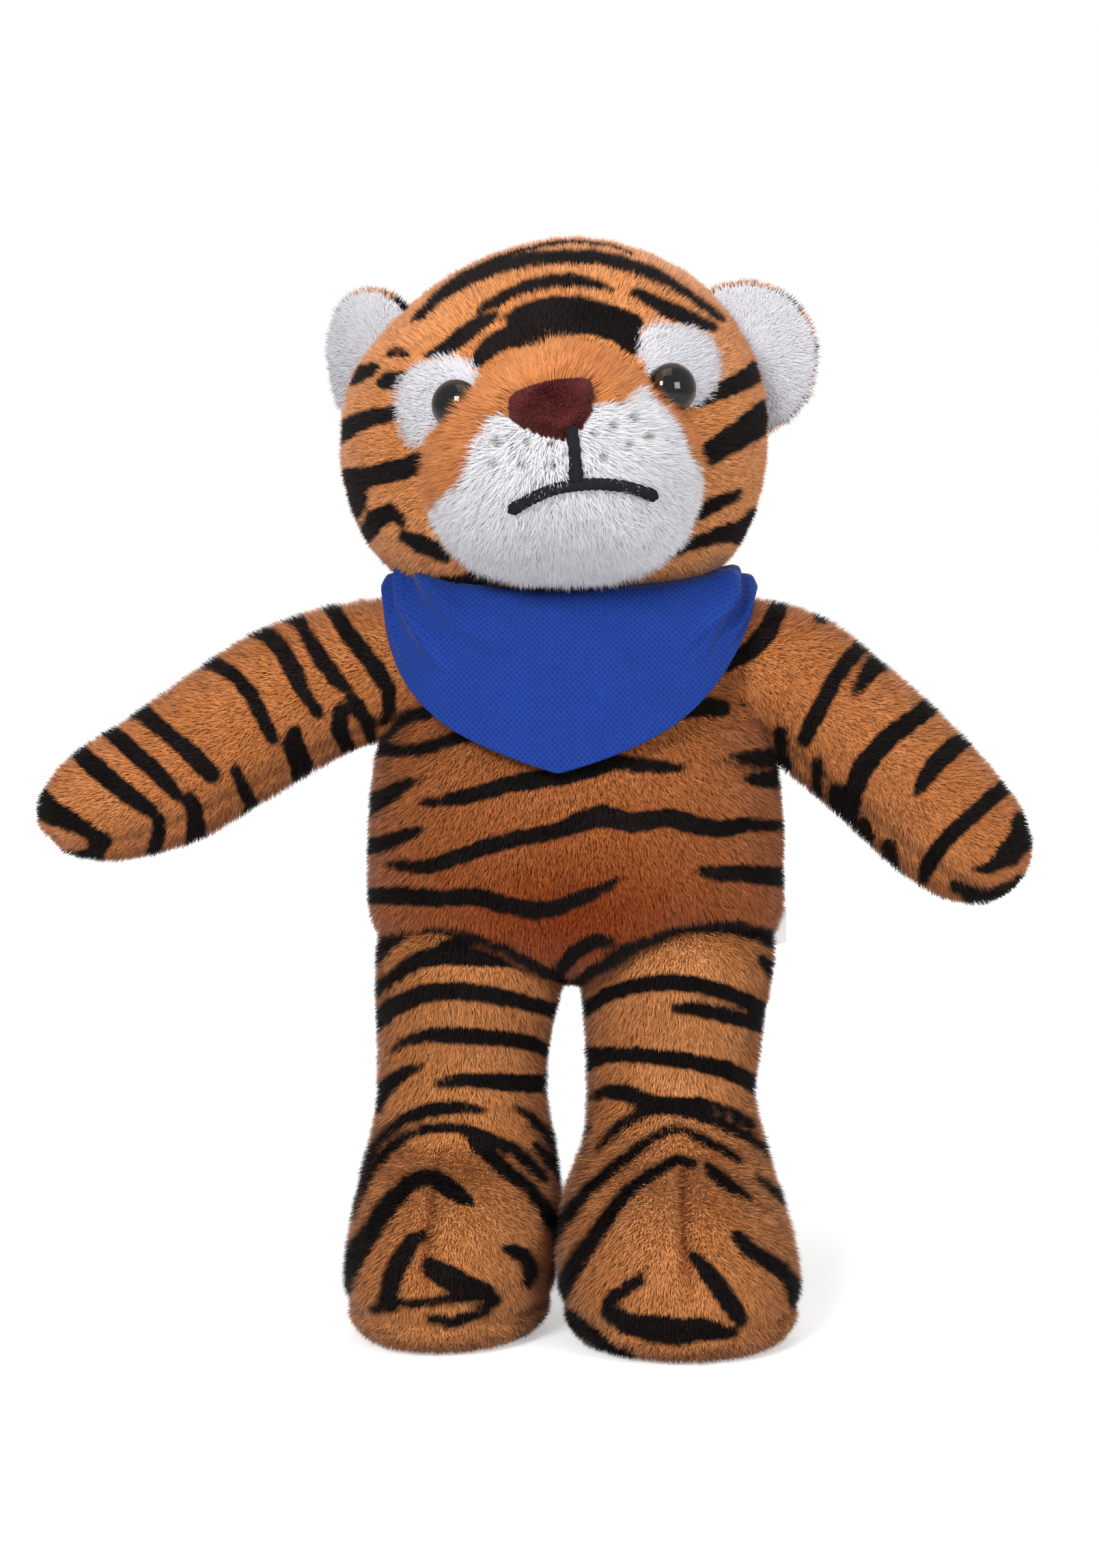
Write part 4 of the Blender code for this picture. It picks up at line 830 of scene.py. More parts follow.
FOOT_STRIPES = {
    -1: (
        ((130, 700, 30), (200, 500, 35), (250, 420, 40), (330, 340, 45), (420, 280, 55),
         (520, 240, 60), (630, 225, 60), (740, 230, 45), (820, 245, 20)),
        ((105, 840, 25), (150, 690, 40), (220, 560, 45), (300, 470, 45), (400, 390, 40),
         (500, 350, 40), (620, 335, 40), (700, 350, 60), (790, 390, 70), (880, 420, 60),
         (960, 460, 60), (1040, 520, 55), (1130, 620, 50)),
        ((760, 400, 60), (800, 450, 80), (880, 530, 80), (960, 600, 70), (1040, 670, 65),
         (1110, 750, 70), (1170, 850, 70), (1210, 940, 50)),
        ((970, 225, 25), (1050, 270, 40), (1110, 340, 50), (1180, 430, 55), (1240, 530, 40),
         (1265, 590, 20)),
        ((1085, 440, 30), (1150, 510, 60), (1210, 590, 60), (1260, 680, 40)),
        ((75, 1240, 50), (90, 1120, 100), (150, 1000, 110), (230, 880, 100), (310, 760, 95),
         (400, 660, 85), (500, 610, 80), (580, 640, 90), (660, 700, 90), (730, 750, 50)),
        ((290, 1280, 80), (330, 1150, 95), (380, 1040, 90), (430, 950, 60), (500, 920, 40)),
        ((890, 1000, 20), (960, 1010, 60), (1030, 1050, 85), (1060, 1120, 80), (1040, 1180, 60)),
        ((520, 1100, 90), (640, 1170, 120), (760, 1220, 100), (830, 1230, 60)),
        ((220, 1325, 40), (400, 1300, 40), (600, 1280, 40), (800, 1250, 50), (880, 1270, 50)),
        ((520, 1380, 40), (640, 1390, 50), (780, 1350, 40), (860, 1290, 40)),
    ),
    1: (
        ((265, 455, 15), (320, 390, 40), (400, 310, 50), (500, 250, 55), (620, 215, 60),
         (740, 240, 60), (860, 290, 50), (980, 340, 45), (1080, 400, 40), (1160, 480, 30)),
        ((15, 960, 50), (60, 880, 60), (130, 780, 60), (220, 660, 60), (320, 570, 55),
         (420, 490, 50), (520, 410, 50), (620, 350, 40), (700, 340, 35), (780, 370, 35),
         (870, 420, 35), (950, 465, 40), (1020, 505, 20)),
        ((90, 1230, 50), (130, 1100, 80), (190, 1000, 85), (260, 900, 80), (330, 790, 70),
         (420, 670, 60), (520, 590, 55), (620, 530, 50), (680, 500, 45), (760, 520, 50)),
        ((840, 530, 40), (900, 590, 60), (960, 640, 60), (1060, 700, 20)),
        ((1090, 590, 20), (1150, 640, 35), (1220, 700, 35), (1270, 780, 35), (1300, 860, 30)),
        ((985, 890, 50), (1040, 960, 75), (1120, 1010, 75), (1200, 1060, 75), (1260, 1130, 75),
         (1285, 1250, 50)),
        ((770, 990, 40), (820, 1060, 70), (890, 1150, 85), (950, 1240, 90), (1000, 1310, 70)),
        ((530, 1060, 15), (490, 1120, 50), (420, 1170, 60), (350, 1210, 60), (330, 1270, 50)),
        ((330, 1280, 60), (430, 1340, 100), (550, 1370, 130), (700, 1380, 130), (830, 1370, 110),
         (960, 1390, 60)),
        ((90, 1280, 60), (170, 1330, 70), (250, 1400, 60), (350, 1470, 50), (450, 1500, 30)),
        ((245, 320, 20), (190, 380, 25), (130, 520, 20)),
    ),
}


def beside(spots, start, way):
    """How far spots are from a start along a way."""
    return (spots - np.array(start)) @ way


for side, name in SIDES.items():
    hip = joint[f"leg_{name}_swing"]
    sections = []
    for high, forward, half_deep, *both in LEG_SECTIONS:
        across, half_wide = both[2:] if side > 0 else both[:2]
        back = FEET_BACK[side] * max(1 - high / hip.z, 0) - forward
        sections.append(level(middle + Vector((across, back, high)), half_wide, half_deep))
    ankle = Vector((hip.x + side * FEET_SPLAY[side], hip.y + FEET_BACK[side], 0))
    foot_turn = Matrix.Rotation(side * FOOT_TURNS[side], 3, "Z")
    for high, deep, forward, inwards, *wides in FOOT_SHARES:
        spot = foot_turn @ Vector((-side * inwards, -FOOT_LONG * forward, hip.z * high))
        half_wide = FOOT_WIDES[side] / 2 * wides[side > 0]
        spot, across, along = level(ankle + spot, half_wide, FOOT_LONG / 2 * deep)
        sections.append((spot, foot_turn @ across, foot_turn @ along))
    leg_skin = skin(sections, LEG_AROUND, LEG_ALONG)
    places = places_of(leg_skin)
    toe_way = np.array(foot_turn @ Vector((side, 0, 0)))
    toe_gap = beside(places, ankle, toe_way)
    toes = (places[:, 1] < ankle.y) * soft(-(places[:, 1] - ankle.y), TOE_FROM, TOE_TO)
    toes = toes * soft(places[:, 2], SOLE_RISE * 1.5, SOLE_RISE * 2.8)
    toes = toes * soft(TOE_TOP - places[:, 2], 0, TOE_FROM)
    pressed(leg_skin, toe_gap, SEAM_DEEP * 2.0 * toes, SEAM_WIDE)
    # Painted shade along the crease of the toe seam, through the "deep" mark
    marked(leg_skin, "deep", 0.9 * toes * np.exp(-((toe_gap / (SEAM_WIDE * 0.6)) ** 2)))
    pressed(leg_skin, places_of(leg_skin)[:, 2] - SOLE_RISE, SEAM_DEEP * 1.6, SEAM_WIDE)
    places = places_of(leg_skin)
    stripes = read(BELLY_VIEW, HIGH_LEG_STRIPES[side]) + read(LEGS_VIEW, LEG_STRIPES[side])
    stripes += read(FOOT_VIEWS[side], FOOT_STRIPES[side])
    marked(leg_skin, "stripe", stripe_gap(places, stripes))
    comb = np.tile((0, -0.25, -1.0), (len(places), 1))
    comb[:, 2] *= soft(places[:, 2], 0.003, 0.010)
    marked(leg_skin, "comb", comb)
    marked(leg_skin, "thick", places[:, 2] > OFF_FLOOR * 4)
    pieces = {
        f"leg_{name}_outer": (
            lambda spots: (spots[:, 2] > SOLE_RISE) & (beside(spots, ankle, toe_way) > 0),
            [f"leg_{name}_outer_panel", f"leg_{name}_stuffing"],
        ),
        f"leg_{name}_inner": (
            lambda spots: (spots[:, 2] > SOLE_RISE) & (beside(spots, ankle, toe_way) <= 0),
            [f"leg_{name}_inner_panel"],
        ),
        f"foot_{name}_under": (lambda spots: spots[:, 2] <= SOLE_RISE, [f"foot_{name}_sole"]),
    }
    for piece, (keep, solids) in pieces.items():
        plush(piece, part_of(leg_skin, keep), f"leg_{name}", solids)

# Head
# A gusset runs from the brow over the crown to the back of the head between two cheek panels.
# The brow has a dark marking, and stripes run back from it over the crown.
HEAD_WIDE, HEAD_DEEP, HEAD_TALL = 0.0980, 0.0800, 0.0813
HEAD_FOOT, HEAD_FORWARD, HEAD_ASIDE = 0.1700, 0.0030, 0.0050
HEAD_AROUND, HEAD_ALONG = 160, 96
GUSSET_WIDE = 0.0560
HEAD_SHARES = (
    (-0.010, 0.00, 0.00, 0.75),
    (0.000, 0.30, 0.32, 0.75),
    (0.025, 0.53, 0.55, 0.85),
    (0.078, 0.745, 0.77, 0.95),
    (0.175, 0.89, 0.91, 1.00),
    (0.310, 0.975, 0.98, 1.05),
    (0.460, 1.00, 1.00, 1.00),
    (0.615, 0.960, 0.97, 0.90),
    (0.755, 0.82, 0.86, 0.60),
    (0.860, 0.65, 0.70, 0.35),
    (0.945, 0.41, 0.45, 0.20),
    (0.990, 0.16, 0.18, 0.12),
    (1.000, 0.00, 0.00, 0.12),
)
FACE_VIEW = (480, 330, 2.119)
FACE_STRIPES = (
    ((290, 295, 15), (350, 230, 30), (430, 180, 38), (520, 140, 38), (620, 118, 38),
     (720, 108, 38), (820, 108, 38), (900, 125, 38), (980, 150, 35), (1050, 185, 30),
     (1110, 220, 20), (1160, 260, 18), (1215, 300, 12)),
    ((480, 270, 20), (540, 235, 30), (610, 200, 30), (700, 180, 32), (780, 180, 30),
     (840, 190, 20), (880, 208, 10)),
    ((945, 215, 20), (1000, 240, 40), (1060, 270, 45), (1120, 300, 40), (1190, 325, 20)),
    ((525, 285, 15), (480, 305, 40), (420, 350, 45), (370, 390, 40), (320, 410, 20)),
    ((460, 430, 30), (500, 385, 55), (570, 345, 60), (640, 350, 60)),
    ((590, 300, 60), (650, 265, 55), (730, 250, 45), (800, 255, 45), (870, 280, 50),
     (940, 310, 60)),
    ((690, 350, 30), (760, 315, 50), (830, 310, 60), (900, 330, 70), (950, 380, 50)),
    ((650, 310, 40), (705, 296, 48), (765, 290, 40)),
    ((195, 405, 15), (225, 398, 22), (255, 405, 15)),
    ((85, 490, 25), (115, 465, 45), (150, 450, 30)),
    ((175, 490, 30), (205, 485, 50), (240, 485, 45)),
    ((45, 660, 40), (90, 620, 50), (150, 595, 45), (215, 585, 40)),
    ((65, 780, 50), (130, 780, 55), (200, 765, 60), (300, 735, 60)),
    ((100, 820, 60), (100, 870, 50), (90, 900, 30)),
    ((130, 960, 40), (160, 905, 55), (200, 885, 45), (235, 910, 30)),
    ((245, 960, 30), (290, 980, 45), (340, 1005, 45), (370, 1020, 30)),
    ((250, 1110, 35), (330, 1110, 50), (420, 1100, 45), (480, 1085, 40), (560, 1090, 20)),
    ((1330, 450, 60), (1270, 490, 50), (1200, 520, 45), (1140, 550, 25)),
    ((1350, 590, 90), (1280, 640, 80), (1220, 680, 70), (1180, 710, 60)),
    ((1265, 830, 25), (1200, 860, 40), (1140, 890, 35)),
    ((1320, 900, 60), (1280, 950, 70), (1220, 950, 45), (1150, 975, 35), (1080, 1000, 30),
     (1020, 1030, 25)),
)
# Where the stripes of face, nape and crown end, and how fast they thin out beyond it
FACE_BACK, NAPE_FRONT, CROWN_LOW, FADE = -0.006, 0.012, 0.230, 900
# Stripes on the back of the head, which the photograph doesn't show: across, height, half width
NAPE_STRIPES = (
    ((-0.038, 0.228, 0.0005), (-0.020, 0.236, 0.0024), (0.004, 0.239, 0.0026),
     (0.030, 0.230, 0.0006)),
    ((-0.046, 0.212, 0.0006), (-0.022, 0.222, 0.0028), (0.002, 0.224, 0.0022),
     (0.020, 0.221, 0.0028), (0.042, 0.210, 0.0006)),
    ((-0.050, 0.196, 0.0008), (-0.028, 0.205, 0.0026), (-0.006, 0.208, 0.0028),
     (0.024, 0.206, 0.0024), (0.046, 0.194, 0.0008)),
    ((-0.044, 0.182, 0.0008), (-0.022, 0.190, 0.0026), (0.004, 0.192, 0.0022),
     (0.026, 0.188, 0.0026), (0.040, 0.181, 0.0008)),
)
# Stripes over the crown, seen from above: across, back, half width
CROWN_STRIPES = (
    ((-0.036, -0.0170, 0.0008), (-0.030, -0.0165, 0.0015), (-0.023, -0.0130, 0.0018),
     (-0.010, -0.0112, 0.0018), (0.000, -0.0103, 0.0016), (0.007, -0.0103, 0.0013),
     (0.0124, -0.0120, 0.0005)),
    ((-0.028, -0.003, 0.0003), (-0.012, 0.002, 0.0019), (0.008, 0.003, 0.0017),
     (0.024, -0.001, 0.0003)),
    ((-0.034, 0.011, 0.0004), (-0.014, 0.016, 0.0023), (0.010, 0.015, 0.0019),
     (0.030, 0.009, 0.0004)),
)
# The spot from which the pile of head and snout is combed away
NOSE_SPOT = (-0.006, -0.062, 0.214)
# How far an eye patch laps over cloth that has no pile
PATCH_LAP = 0.8
EYE_PATCHES = {
    -1: ((215, 560), (230, 480), (290, 430), (380, 405), (450, 425), (480, 480), (470, 560),
        (420, 620), (370, 655), (320, 695), (265, 680), (230, 630)),
    1: ((955, 335), (1010, 305), (1100, 312), (1170, 340), (1210, 400), (1212, 480), (1180, 535),
        (1120, 575), (1060, 560), (1000, 500), (960, 420)),
}


def outline_gap(spots, outline):
    """How far each spot is outside an outline, and less than nothing inside it."""
    ring = np.array([*outline, outline[0]], float)
    gap = gap_to(spots, [[(x, y, 0) for x, y in ring]])
    within = np.zeros(len(spots), bool)
    for (x0, y0), (x1, y1) in zip(ring, ring[1:]):
        if y0 == y1:
            continue
        crosses = (spots[:, 1] >= min(y0, y1)) & (spots[:, 1] < max(y0, y1))
        within ^= crosses & (spots[:, 0] < x0 + (spots[:, 1] - y0) / (y1 - y0) * (x1 - x0))
    return np.where(within, -gap, gap)


def photo_outline(view, points):
    left, top, larger = view
    return [(left + x / larger, top + y / larger) for x, y in points]


def outside(places, outline):
    """How far places are seen outside an outline, in millimetres on the tiger."""
    return outline_gap(seen(places), outline) / pixels_per_mm


head_skin = skin(
    [
        level(
            middle + Vector((-HEAD_ASIDE * lean, -HEAD_FORWARD, HEAD_FOOT + HEAD_TALL * high)),
            HEAD_WIDE / 2 * wide,
            HEAD_DEEP / 2 * deep,
        )
        for high, wide, deep, lean in HEAD_SHARES
    ],
    HEAD_AROUND,
    HEAD_ALONG,
)
head_tree = BVHTree.FromBMesh(head_skin)
places = places_of(head_skin)
own = places - np.array(middle)
face_gap = stripe_gap(places, read(FACE_VIEW, FACE_STRIPES))
stripe_gaps = (
    face_gap + np.maximum(own[:, 1] - FACE_BACK, 0) * FADE,
    gap_to(own[:, [0, 2]], NAPE_STRIPES) * 1000 + np.maximum(NAPE_FRONT - own[:, 1], 0) * FADE,
    gap_to(own[:, :2], CROWN_STRIPES) * 1000 + np.maximum(CROWN_LOW - own[:, 2], 0) * FADE,
)
marked(head_skin, "stripe", np.min(stripe_gaps, axis=0))
nose_spot = np.array(middle) + NOSE_SPOT
fanned(head_skin, nose_spot)
patches = {side: photo_outline(FACE_VIEW, points) for side, points in EYE_PATCHES.items()}
bare = np.min([outside(places, outline) for outline in patches.values()], axis=0) < -PATCH_LAP
marked(head_skin, "thick", ~(bare & (own[:, 1] < 0)))
gusset_x = middle.x - HEAD_ASIDE
head_cloths = {
    "gusset": lambda spots: np.abs(spots[:, 0] - gusset_x) <= GUSSET_WIDE / 2,
    "left": lambda spots: spots[:, 0] - gusset_x > GUSSET_WIDE / 2,
    "right": lambda spots: spots[:, 0] - gusset_x < -GUSSET_WIDE / 2,
}
for name, keep in head_cloths.items():
    solids = [f"head_{name}_panel"] + ["head_stuffing"] * (name == "gusset")
    cloth = part_of(head_skin, keep)
    plush(f"head_{name}", cloth, "head", solids, long=SHORT_HAIR, swirls=0.5)

# Muzzle
# A stuffed snout sewn on the front of the head: white plush for snout, cheeks and chin, and
# a bridge of longer orange plush round the nose and down both flanks.
MUZZLE_ASIDE, MUZZLE_HEIGHT = -0.0032, 0.2014
MUZZLE_WIDE, MUZZLE_RISE = 0.0614, 0.0272
MUZZLE_ROOT, MUZZLE_LONG, MUZZLE_LIFT = 0.0240, 0.0420, 0.0022
MUZZLE_CROWN, MUZZLE_JOWL = 1.52, 2.6
MUZZLE_AROUND, MUZZLE_ALONG = 110, 60
MUZZLE_SHARES = (
    (-0.15, 1.00),
    (0.00, 1.00),
    (0.28, 0.98),
    (0.52, 0.89),
    (0.72, 0.735),
    (0.88, 0.51),
    (0.97, 0.27),
    (1.00, 0.00),
)
# How far behind the muzzle's root the white plush reaches
SNOUT_BACK = 0.004
SNOUT_OUTLINE = (
    (590, 600), (530, 590), (480, 660), (440, 770), (380, 830), (300, 890), (250, 1000),
    (300, 1200), (700, 1250), (1150, 1200), (1200, 950), (1160, 850), (1150, 790), (1100, 700),
    (1060, 630), (1000, 560), (945, 515), (870, 560), (800, 560), (740, 600), (650, 600),
)
WHITE, WHITE_SHADED = (0.89, 0.88, 0.915), (0.79, 0.78, 0.83)
# Eye patches and ear fronts: a darker copy of the white plush, which is painted shade
SHADE_PAINTED_WHITE, PATCH_SHADED = (0.66, 0.65, 0.68), (0.56, 0.55, 0.59)
ORANGE, ORANGE_SHADED = (0.81, 0.325, 0.118), (0.62, 0.185, 0.045)
DOT_GREEN, DOT_WIDE = (0.130, 0.130, 0.090), 6.0
WHISKER_DOTS = (
    (533, 676), (620, 674), (693, 680), (522, 738), (610, 742), (695, 742), (820, 650), (878, 628),
    (937, 605), (848, 722), (920, 688), (982, 662),
)
# The edge of the nose pad. The muzzle has no pile within this many millimetres of the pad, nor
# where it lies this deep in the head.
NOSE_MARGIN, TUCKED_IN = 0.5, 0.001
NOSE_OUTLINE = (
    (566, 582), (570, 556), (592, 532), (640, 510), (720, 492), (776, 488), (802, 494), (816, 510),
    (820, 540), (812, 580), (790, 622), (762, 650), (728, 664), (696, 660), (640, 642), (592, 616),
    (573, 602),
)
white_finish = plush_finish("white_plush", SHADE_PAINTED_WHITE, PATCH_SHADED, root_shade=0.82, uneven=0.07)
snout_finish = plush_finish(
    "white_plush_dotted", WHITE, WHITE_SHADED, DOT_GREEN, root_shade=0.82, uneven=0.07, ragged=0.3,
    spread=0.1,
)
orange_finish = plush_finish("orange_plush", ORANGE, ORANGE_SHADED, root_shade=0.60, uneven=0.2)

muzzle_skin = skin(
    [
        (
            middle
            + Vector((
                MUZZLE_ASIDE,
                -MUZZLE_ROOT - MUZZLE_LONG * forward,
                MUZZLE_HEIGHT + MUZZLE_LIFT * forward,
            )),
            Vector((max(MUZZLE_WIDE / 2 * size - PILE_STAND, 0), 0, 0)),
            Vector((0, 0, max(MUZZLE_RISE * size - PILE_STAND, 0))),
        )
        for forward, size in MUZZLE_SHARES
    ],
    MUZZLE_AROUND,
    MUZZLE_ALONG,
    crown=MUZZLE_CROWN,
    base=MUZZLE_JOWL,
)
muzzle_tree = BVHTree.FromBMesh(muzzle_skin)
fanned(muzzle_skin, nose_spot + (0, 0.004, 0.002))


def out_of_head(place):
    """How far a place of the muzzle stands out of the head."""
    nearest, way, _, _ = head_tree.find_nearest(place)
    return way.dot(place - nearest)


places = places_of(muzzle_skin)
stands = np.array([out_of_head(Vector(place)) for place in places])
nose_outline = photo_outline(FACE_VIEW, NOSE_OUTLINE)
bare = outside(places, nose_outline) < NOSE_MARGIN
marked(muzzle_skin, "thick", (stands > -TUCKED_IN) & ~bare)
dots = [
    [(x, y, DOT_WIDE), (x + 1, y, DOT_WIDE)] for x, y in photo_outline(FACE_VIEW, WHISKER_DOTS)
]
marked(muzzle_skin, "stripe", stripe_gap(places, dots))
snout_outline = photo_outline(FACE_VIEW, SNOUT_OUTLINE)


def snout(spots):
    return (outside(spots, snout_outline) < 0) & (spots[:, 1] < middle.y - MUZZLE_ROOT + SNOUT_BACK)


plush(
    "muzzle_white", part_of(muzzle_skin, snout), "head", ["muzzle_white_panel", "muzzle_stuffing"],
    snout_finish, long=0.0034, lean=0.75, swirls=1.3,
)
plush(
    "muzzle_bridge", part_of(muzzle_skin, lambda spots: ~snout(spots)), "head",
    ["muzzle_bridge_panel"], orange_finish, long=0.0042, lean=0.75, stray=0.35,
    swirls=2.4,
)

# Eye patches
# Rounded pieces of short white plush, one behind each eye, sewn to the head along their edges
# and lifted a little by the cloth that is turned in under them.
PATCH_RISE, PATCH_EDGE = 0.0012, 2.5
for side, name in SIDES.items():
    outline = patches[side]
    patch = part_of(
        head_skin, lambda spots: (outside(spots, outline) < 0) & (spots[:, 1] < middle.y)
    )
    lift = PATCH_RISE * soft(-outside(places_of(patch), outline), 0, PATCH_EDGE)
    put(patch, places_of(patch) + normals_of(patch) * lift[:, None])
    marked(patch, "thick", 1.0)
    plush(
        f"eye_patch_{name}_plush", patch, "head", [f"eye_patch_{name}"],
        white_finish, long=0.0020, lean=0.9, swirls=0.5,
    )

# Eyes
# Safety eyes: glossy domes of moulded plastic with a black pupil in a dark brown iris. Their
# stems go through patch and head and lock in washers inside.
EYE_RADIUS, EYE_BULGE, EYE_FLATTER, EYE_SINK = 0.0055, 0.0044, 0.8, 0.0006
EYE_RINGS, EYE_TURNS = 14, 40
# Where the pupil ends in the iris, and the iris in the dome's dark rim
PUPIL_EDGE, IRIS_EDGE = (0.0038, 0.0042), (0.0050, 0.0055)
IRIS_BROWN, EYE_BLACK = (0.032, 0.013, 0.006), (0.004, 0.0035, 0.0035)
EYE_SPOTS = {-1: (409, 559), 1: (1054, 509)}

eye_finish, tree, shader = new_finish("eye_plastic")
ring = attribute(tree, "ring")
iris = mixed(tree, noise(tree, own_place(tree), 900.0), IRIS_BROWN, times(IRIS_BROWN, 0.6))
colour = mixed(tree, ranged(tree, ring, *PUPIL_EDGE, 0.0, 1.0), EYE_BLACK, iris)
colour = mixed(tree, ranged(tree, ring, *IRIS_EDGE, 0.0, 1.0), colour, EYE_BLACK)
dress(shader, colour, 0.04, 0.24)


def frame_at(place, way):
    """A frame at a place with its own Z along a way and its own Y as upright as that allows."""
    way = Vector(way).normalized()
    across = Vector((0, 0, 1)).cross(way).normalized()
    axes = Matrix((across, way.cross(across), way)).transposed()
    return Matrix.Translation(place) @ axes.to_4x4()


def turned(profile, turns, place):
    """A shape turned about its own Z from (radius, height) points, then placed by a matrix."""
    bm = bmesh.new()
    verts = [bm.verts.new((radius, 0, height)) for radius, height in profile]
    edges = [bm.edges.new(pair) for pair in zip(verts, verts[1:])]
    bmesh.ops.spin(
        bm, geom=verts + edges, cent=(0, 0, 0), axis=(0, 0, 1), angle=math.tau, steps=turns,
        use_merge=True,
    )
    bmesh.ops.remove_doubles(bm, verts=bm.verts[:], dist=PILE_STAND / 100)
    bmesh.ops.recalc_face_normals(bm, faces=bm.faces[:])
    ring = bm.verts.layers.float.new("ring")
    for vert in bm.verts:
        vert[ring] = math.hypot(vert.co.x, vert.co.y)
    bmesh.ops.transform(bm, matrix=place, verts=bm.verts[:])
    return bm


def facing_head(across_px, down_px, tree=head_tree):
    """The place on the front of a skin that a pixel of the photograph shows, and its way."""
    way = gaze + Vector((1, 0, 0)) * ((across_px - PHOTO_WIDE / 2) / pixels_deep)
    way -= gaze_up * ((down_px - PHOTO_HIGH / 2) / pixels_deep)
    place, normal, _, _ = tree.ray_cast(eye_point, way.normalized())
    return place, normal


for side, name in SIDES.items():
    place, way = facing_head(*photo_outline(FACE_VIEW, [EYE_SPOTS[side]])[0])
    base = PATCH_RISE + PILE_STAND
    profile = [(0, -EYE_SINK), (EYE_RADIUS * 0.94, -EYE_SINK), (EYE_RADIUS, base * 0.5)]
    profile.append((EYE_RADIUS, base))
    for step in range(1, EYE_RINGS + 1):
        turn = math.pi / 2 * step / EYE_RINGS
        rise = EYE_BULGE * EYE_FLATTER * math.sin(turn)
        profile.append((EYE_RADIUS * math.cos(turn), base + rise))
    dome = turned(profile, EYE_TURNS, frame_at(place, way))
    eye = shown(f"eye_{name}_dome", dome, eye_finish)
    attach(eye, "head")
    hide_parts(f"eye_{name}")

# Nose
# A three-cornered pad flocked in dark brown, slightly turned, glued over the tip of the snout,
# which has no pile under it.
NOSE_BROWN, NOSE_SHADED = (0.190, 0.040, 0.036), (0.110, 0.023, 0.021)
NOSE_THICK, NOSE_REACH = 0.0042, 0.04
# From where to where the pad thickens, in millimetres from its edge
NOSE_EDGE = (-0.4, 3.6)
flock_finish = plush_finish("nose_flock", NOSE_BROWN, NOSE_SHADED, root_shade=0.7, uneven=0.25)
nose_skin = part_of(
    muzzle_skin,
    lambda spots: (outside(spots, nose_outline) < 0) & (spots[:, 1] < middle.y - NOSE_REACH),
)
bmesh.ops.subdivide_edges(nose_skin, edges=nose_skin.edges[:], cuts=2, use_grid_fill=True)
nose_skin.normal_update()
share = soft(-outside(places_of(nose_skin), nose_outline), *NOSE_EDGE)
dome = NOSE_THICK * (1 - (1 - share) ** 2)
put(nose_skin, places_of(nose_skin) + normals_of(nose_skin) * dome[:, None])
marked(nose_skin, "thick", 1.0)
plush(
    "nose_pad", nose_skin, "head", ["nose"], flock_finish, long=0.0006,
    crowd=3.0e7, lean=0.5,
)

# Mouth
# Thick twisted black thread stitched over the white plush: an upright under the nose and a wide
# bow, each drawn tight at its ends.
THREAD_BLACK = (0.006, 0.006, 0.007)
THREAD_RADIUS, THREAD_LIFT, THREAD_FLAT = 0.0013, 0.0009, 0.7
THREAD_AROUND, THREAD_ALONG = 20, 160
MOUTH_LINES = {
    "mouth_upright": ((748, 640), (757, 680), (763, 730), (768, 785)),
    "mouth_bow": ((584, 867), (608, 852), (640, 834), (700, 808), (770, 796), (850, 796),
        (920, 808), (960, 820), (990, 832)),
}
TWISTS, TWIST_WAY, TWIST_DEEP = 5200.0, np.array((0.8, 0.0, 0.6)), 0.07
thread_finish, tree, shader = new_finish("black_thread")
fibres = noise(tree, own_place(tree), 2500.0)
dress(shader, mixed(tree, fibres, THREAD_BLACK, times(THREAD_BLACK, 3)), 1.0, 0.02)
for name, line in MOUTH_LINES.items():
    spots = []
    for x, y in photo_outline(FACE_VIEW, line):
        place, way = facing_head(x, y, muzzle_tree)
        spots.append(place + way * (THREAD_LIFT + PILE_STAND))
    ends = [spots[0] + (spots[0] - spots[1]).normalized() * THREAD_RADIUS]
    ends += spots + [spots[-1] + (spots[-1] - spots[-2]).normalized() * THREAD_RADIUS]
    sections = []
    for number, spot in enumerate(ends):
        run = (ends[min(number + 1, len(ends) - 1)] - ends[max(number - 1, 0)]).normalized()
        across = run.cross(Vector((0, -1, 0))).normalized()
        size = THREAD_RADIUS if 0 < number < len(ends) - 1 else 0
        sections.append((spot, across * size, run.cross(across) * size * THREAD_FLAT))
    thread = skin(sections, THREAD_AROUND, THREAD_ALONG)
    bulges = np.sin(places_of(thread) @ TWIST_WAY * TWISTS) * THREAD_RADIUS * TWIST_DEEP
    put(thread, places_of(thread) + normals_of(thread) * bulges[:, None])
    made = shown(name + "_thread", thread, thread_finish)
    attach(made, "head")
    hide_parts(name)

# Ears
# Each ear is a white plush front and a striped back sewn round the rim, with a little filling.
# The right one is folded back, and the left one stands a little forward.
EAR_TALL, EAR_REACH, EAR_THICK = 0.0375, 0.0182, 0.0078
EAR_LEANS = {-1: math.radians(-10), 1: math.radians(22)}
EAR_TURNS = {-1: math.radians(-47), 1: math.radians(-8)}
EAR_CURLS, EAR_DISHES = {-1: 0.0012, 1: 0.0000}, {-1: 0.0012, 1: 0.0032}
EAR_RIM = 0.0006
EAR_INSET = 0.0035
EAR_AROUND, EAR_ALONG = 72, 36
# Rings on the back of an ear: how many there are in its height and where the first one lies,
# then how far apart they are and the half width of one, in millimetres
EAR_BARS, EAR_BAR_START = 3.2, 0.35
EAR_BAR_APART, EAR_BAR_HALF = 11, 1.4


def pole_to_pole(count):
    """Turns along a rounded piece from one end to the other, each with the girth there."""
    turns = [math.pi * step / count for step in range(count + 1)]
    return [(turn, math.sin(turn) if 0 < step < count else 0) for step, turn in enumerate(turns)]


def curl(spots, side):
    return EAR_CURLS[side] * (spots[:, 0] / EAR_REACH) ** 2


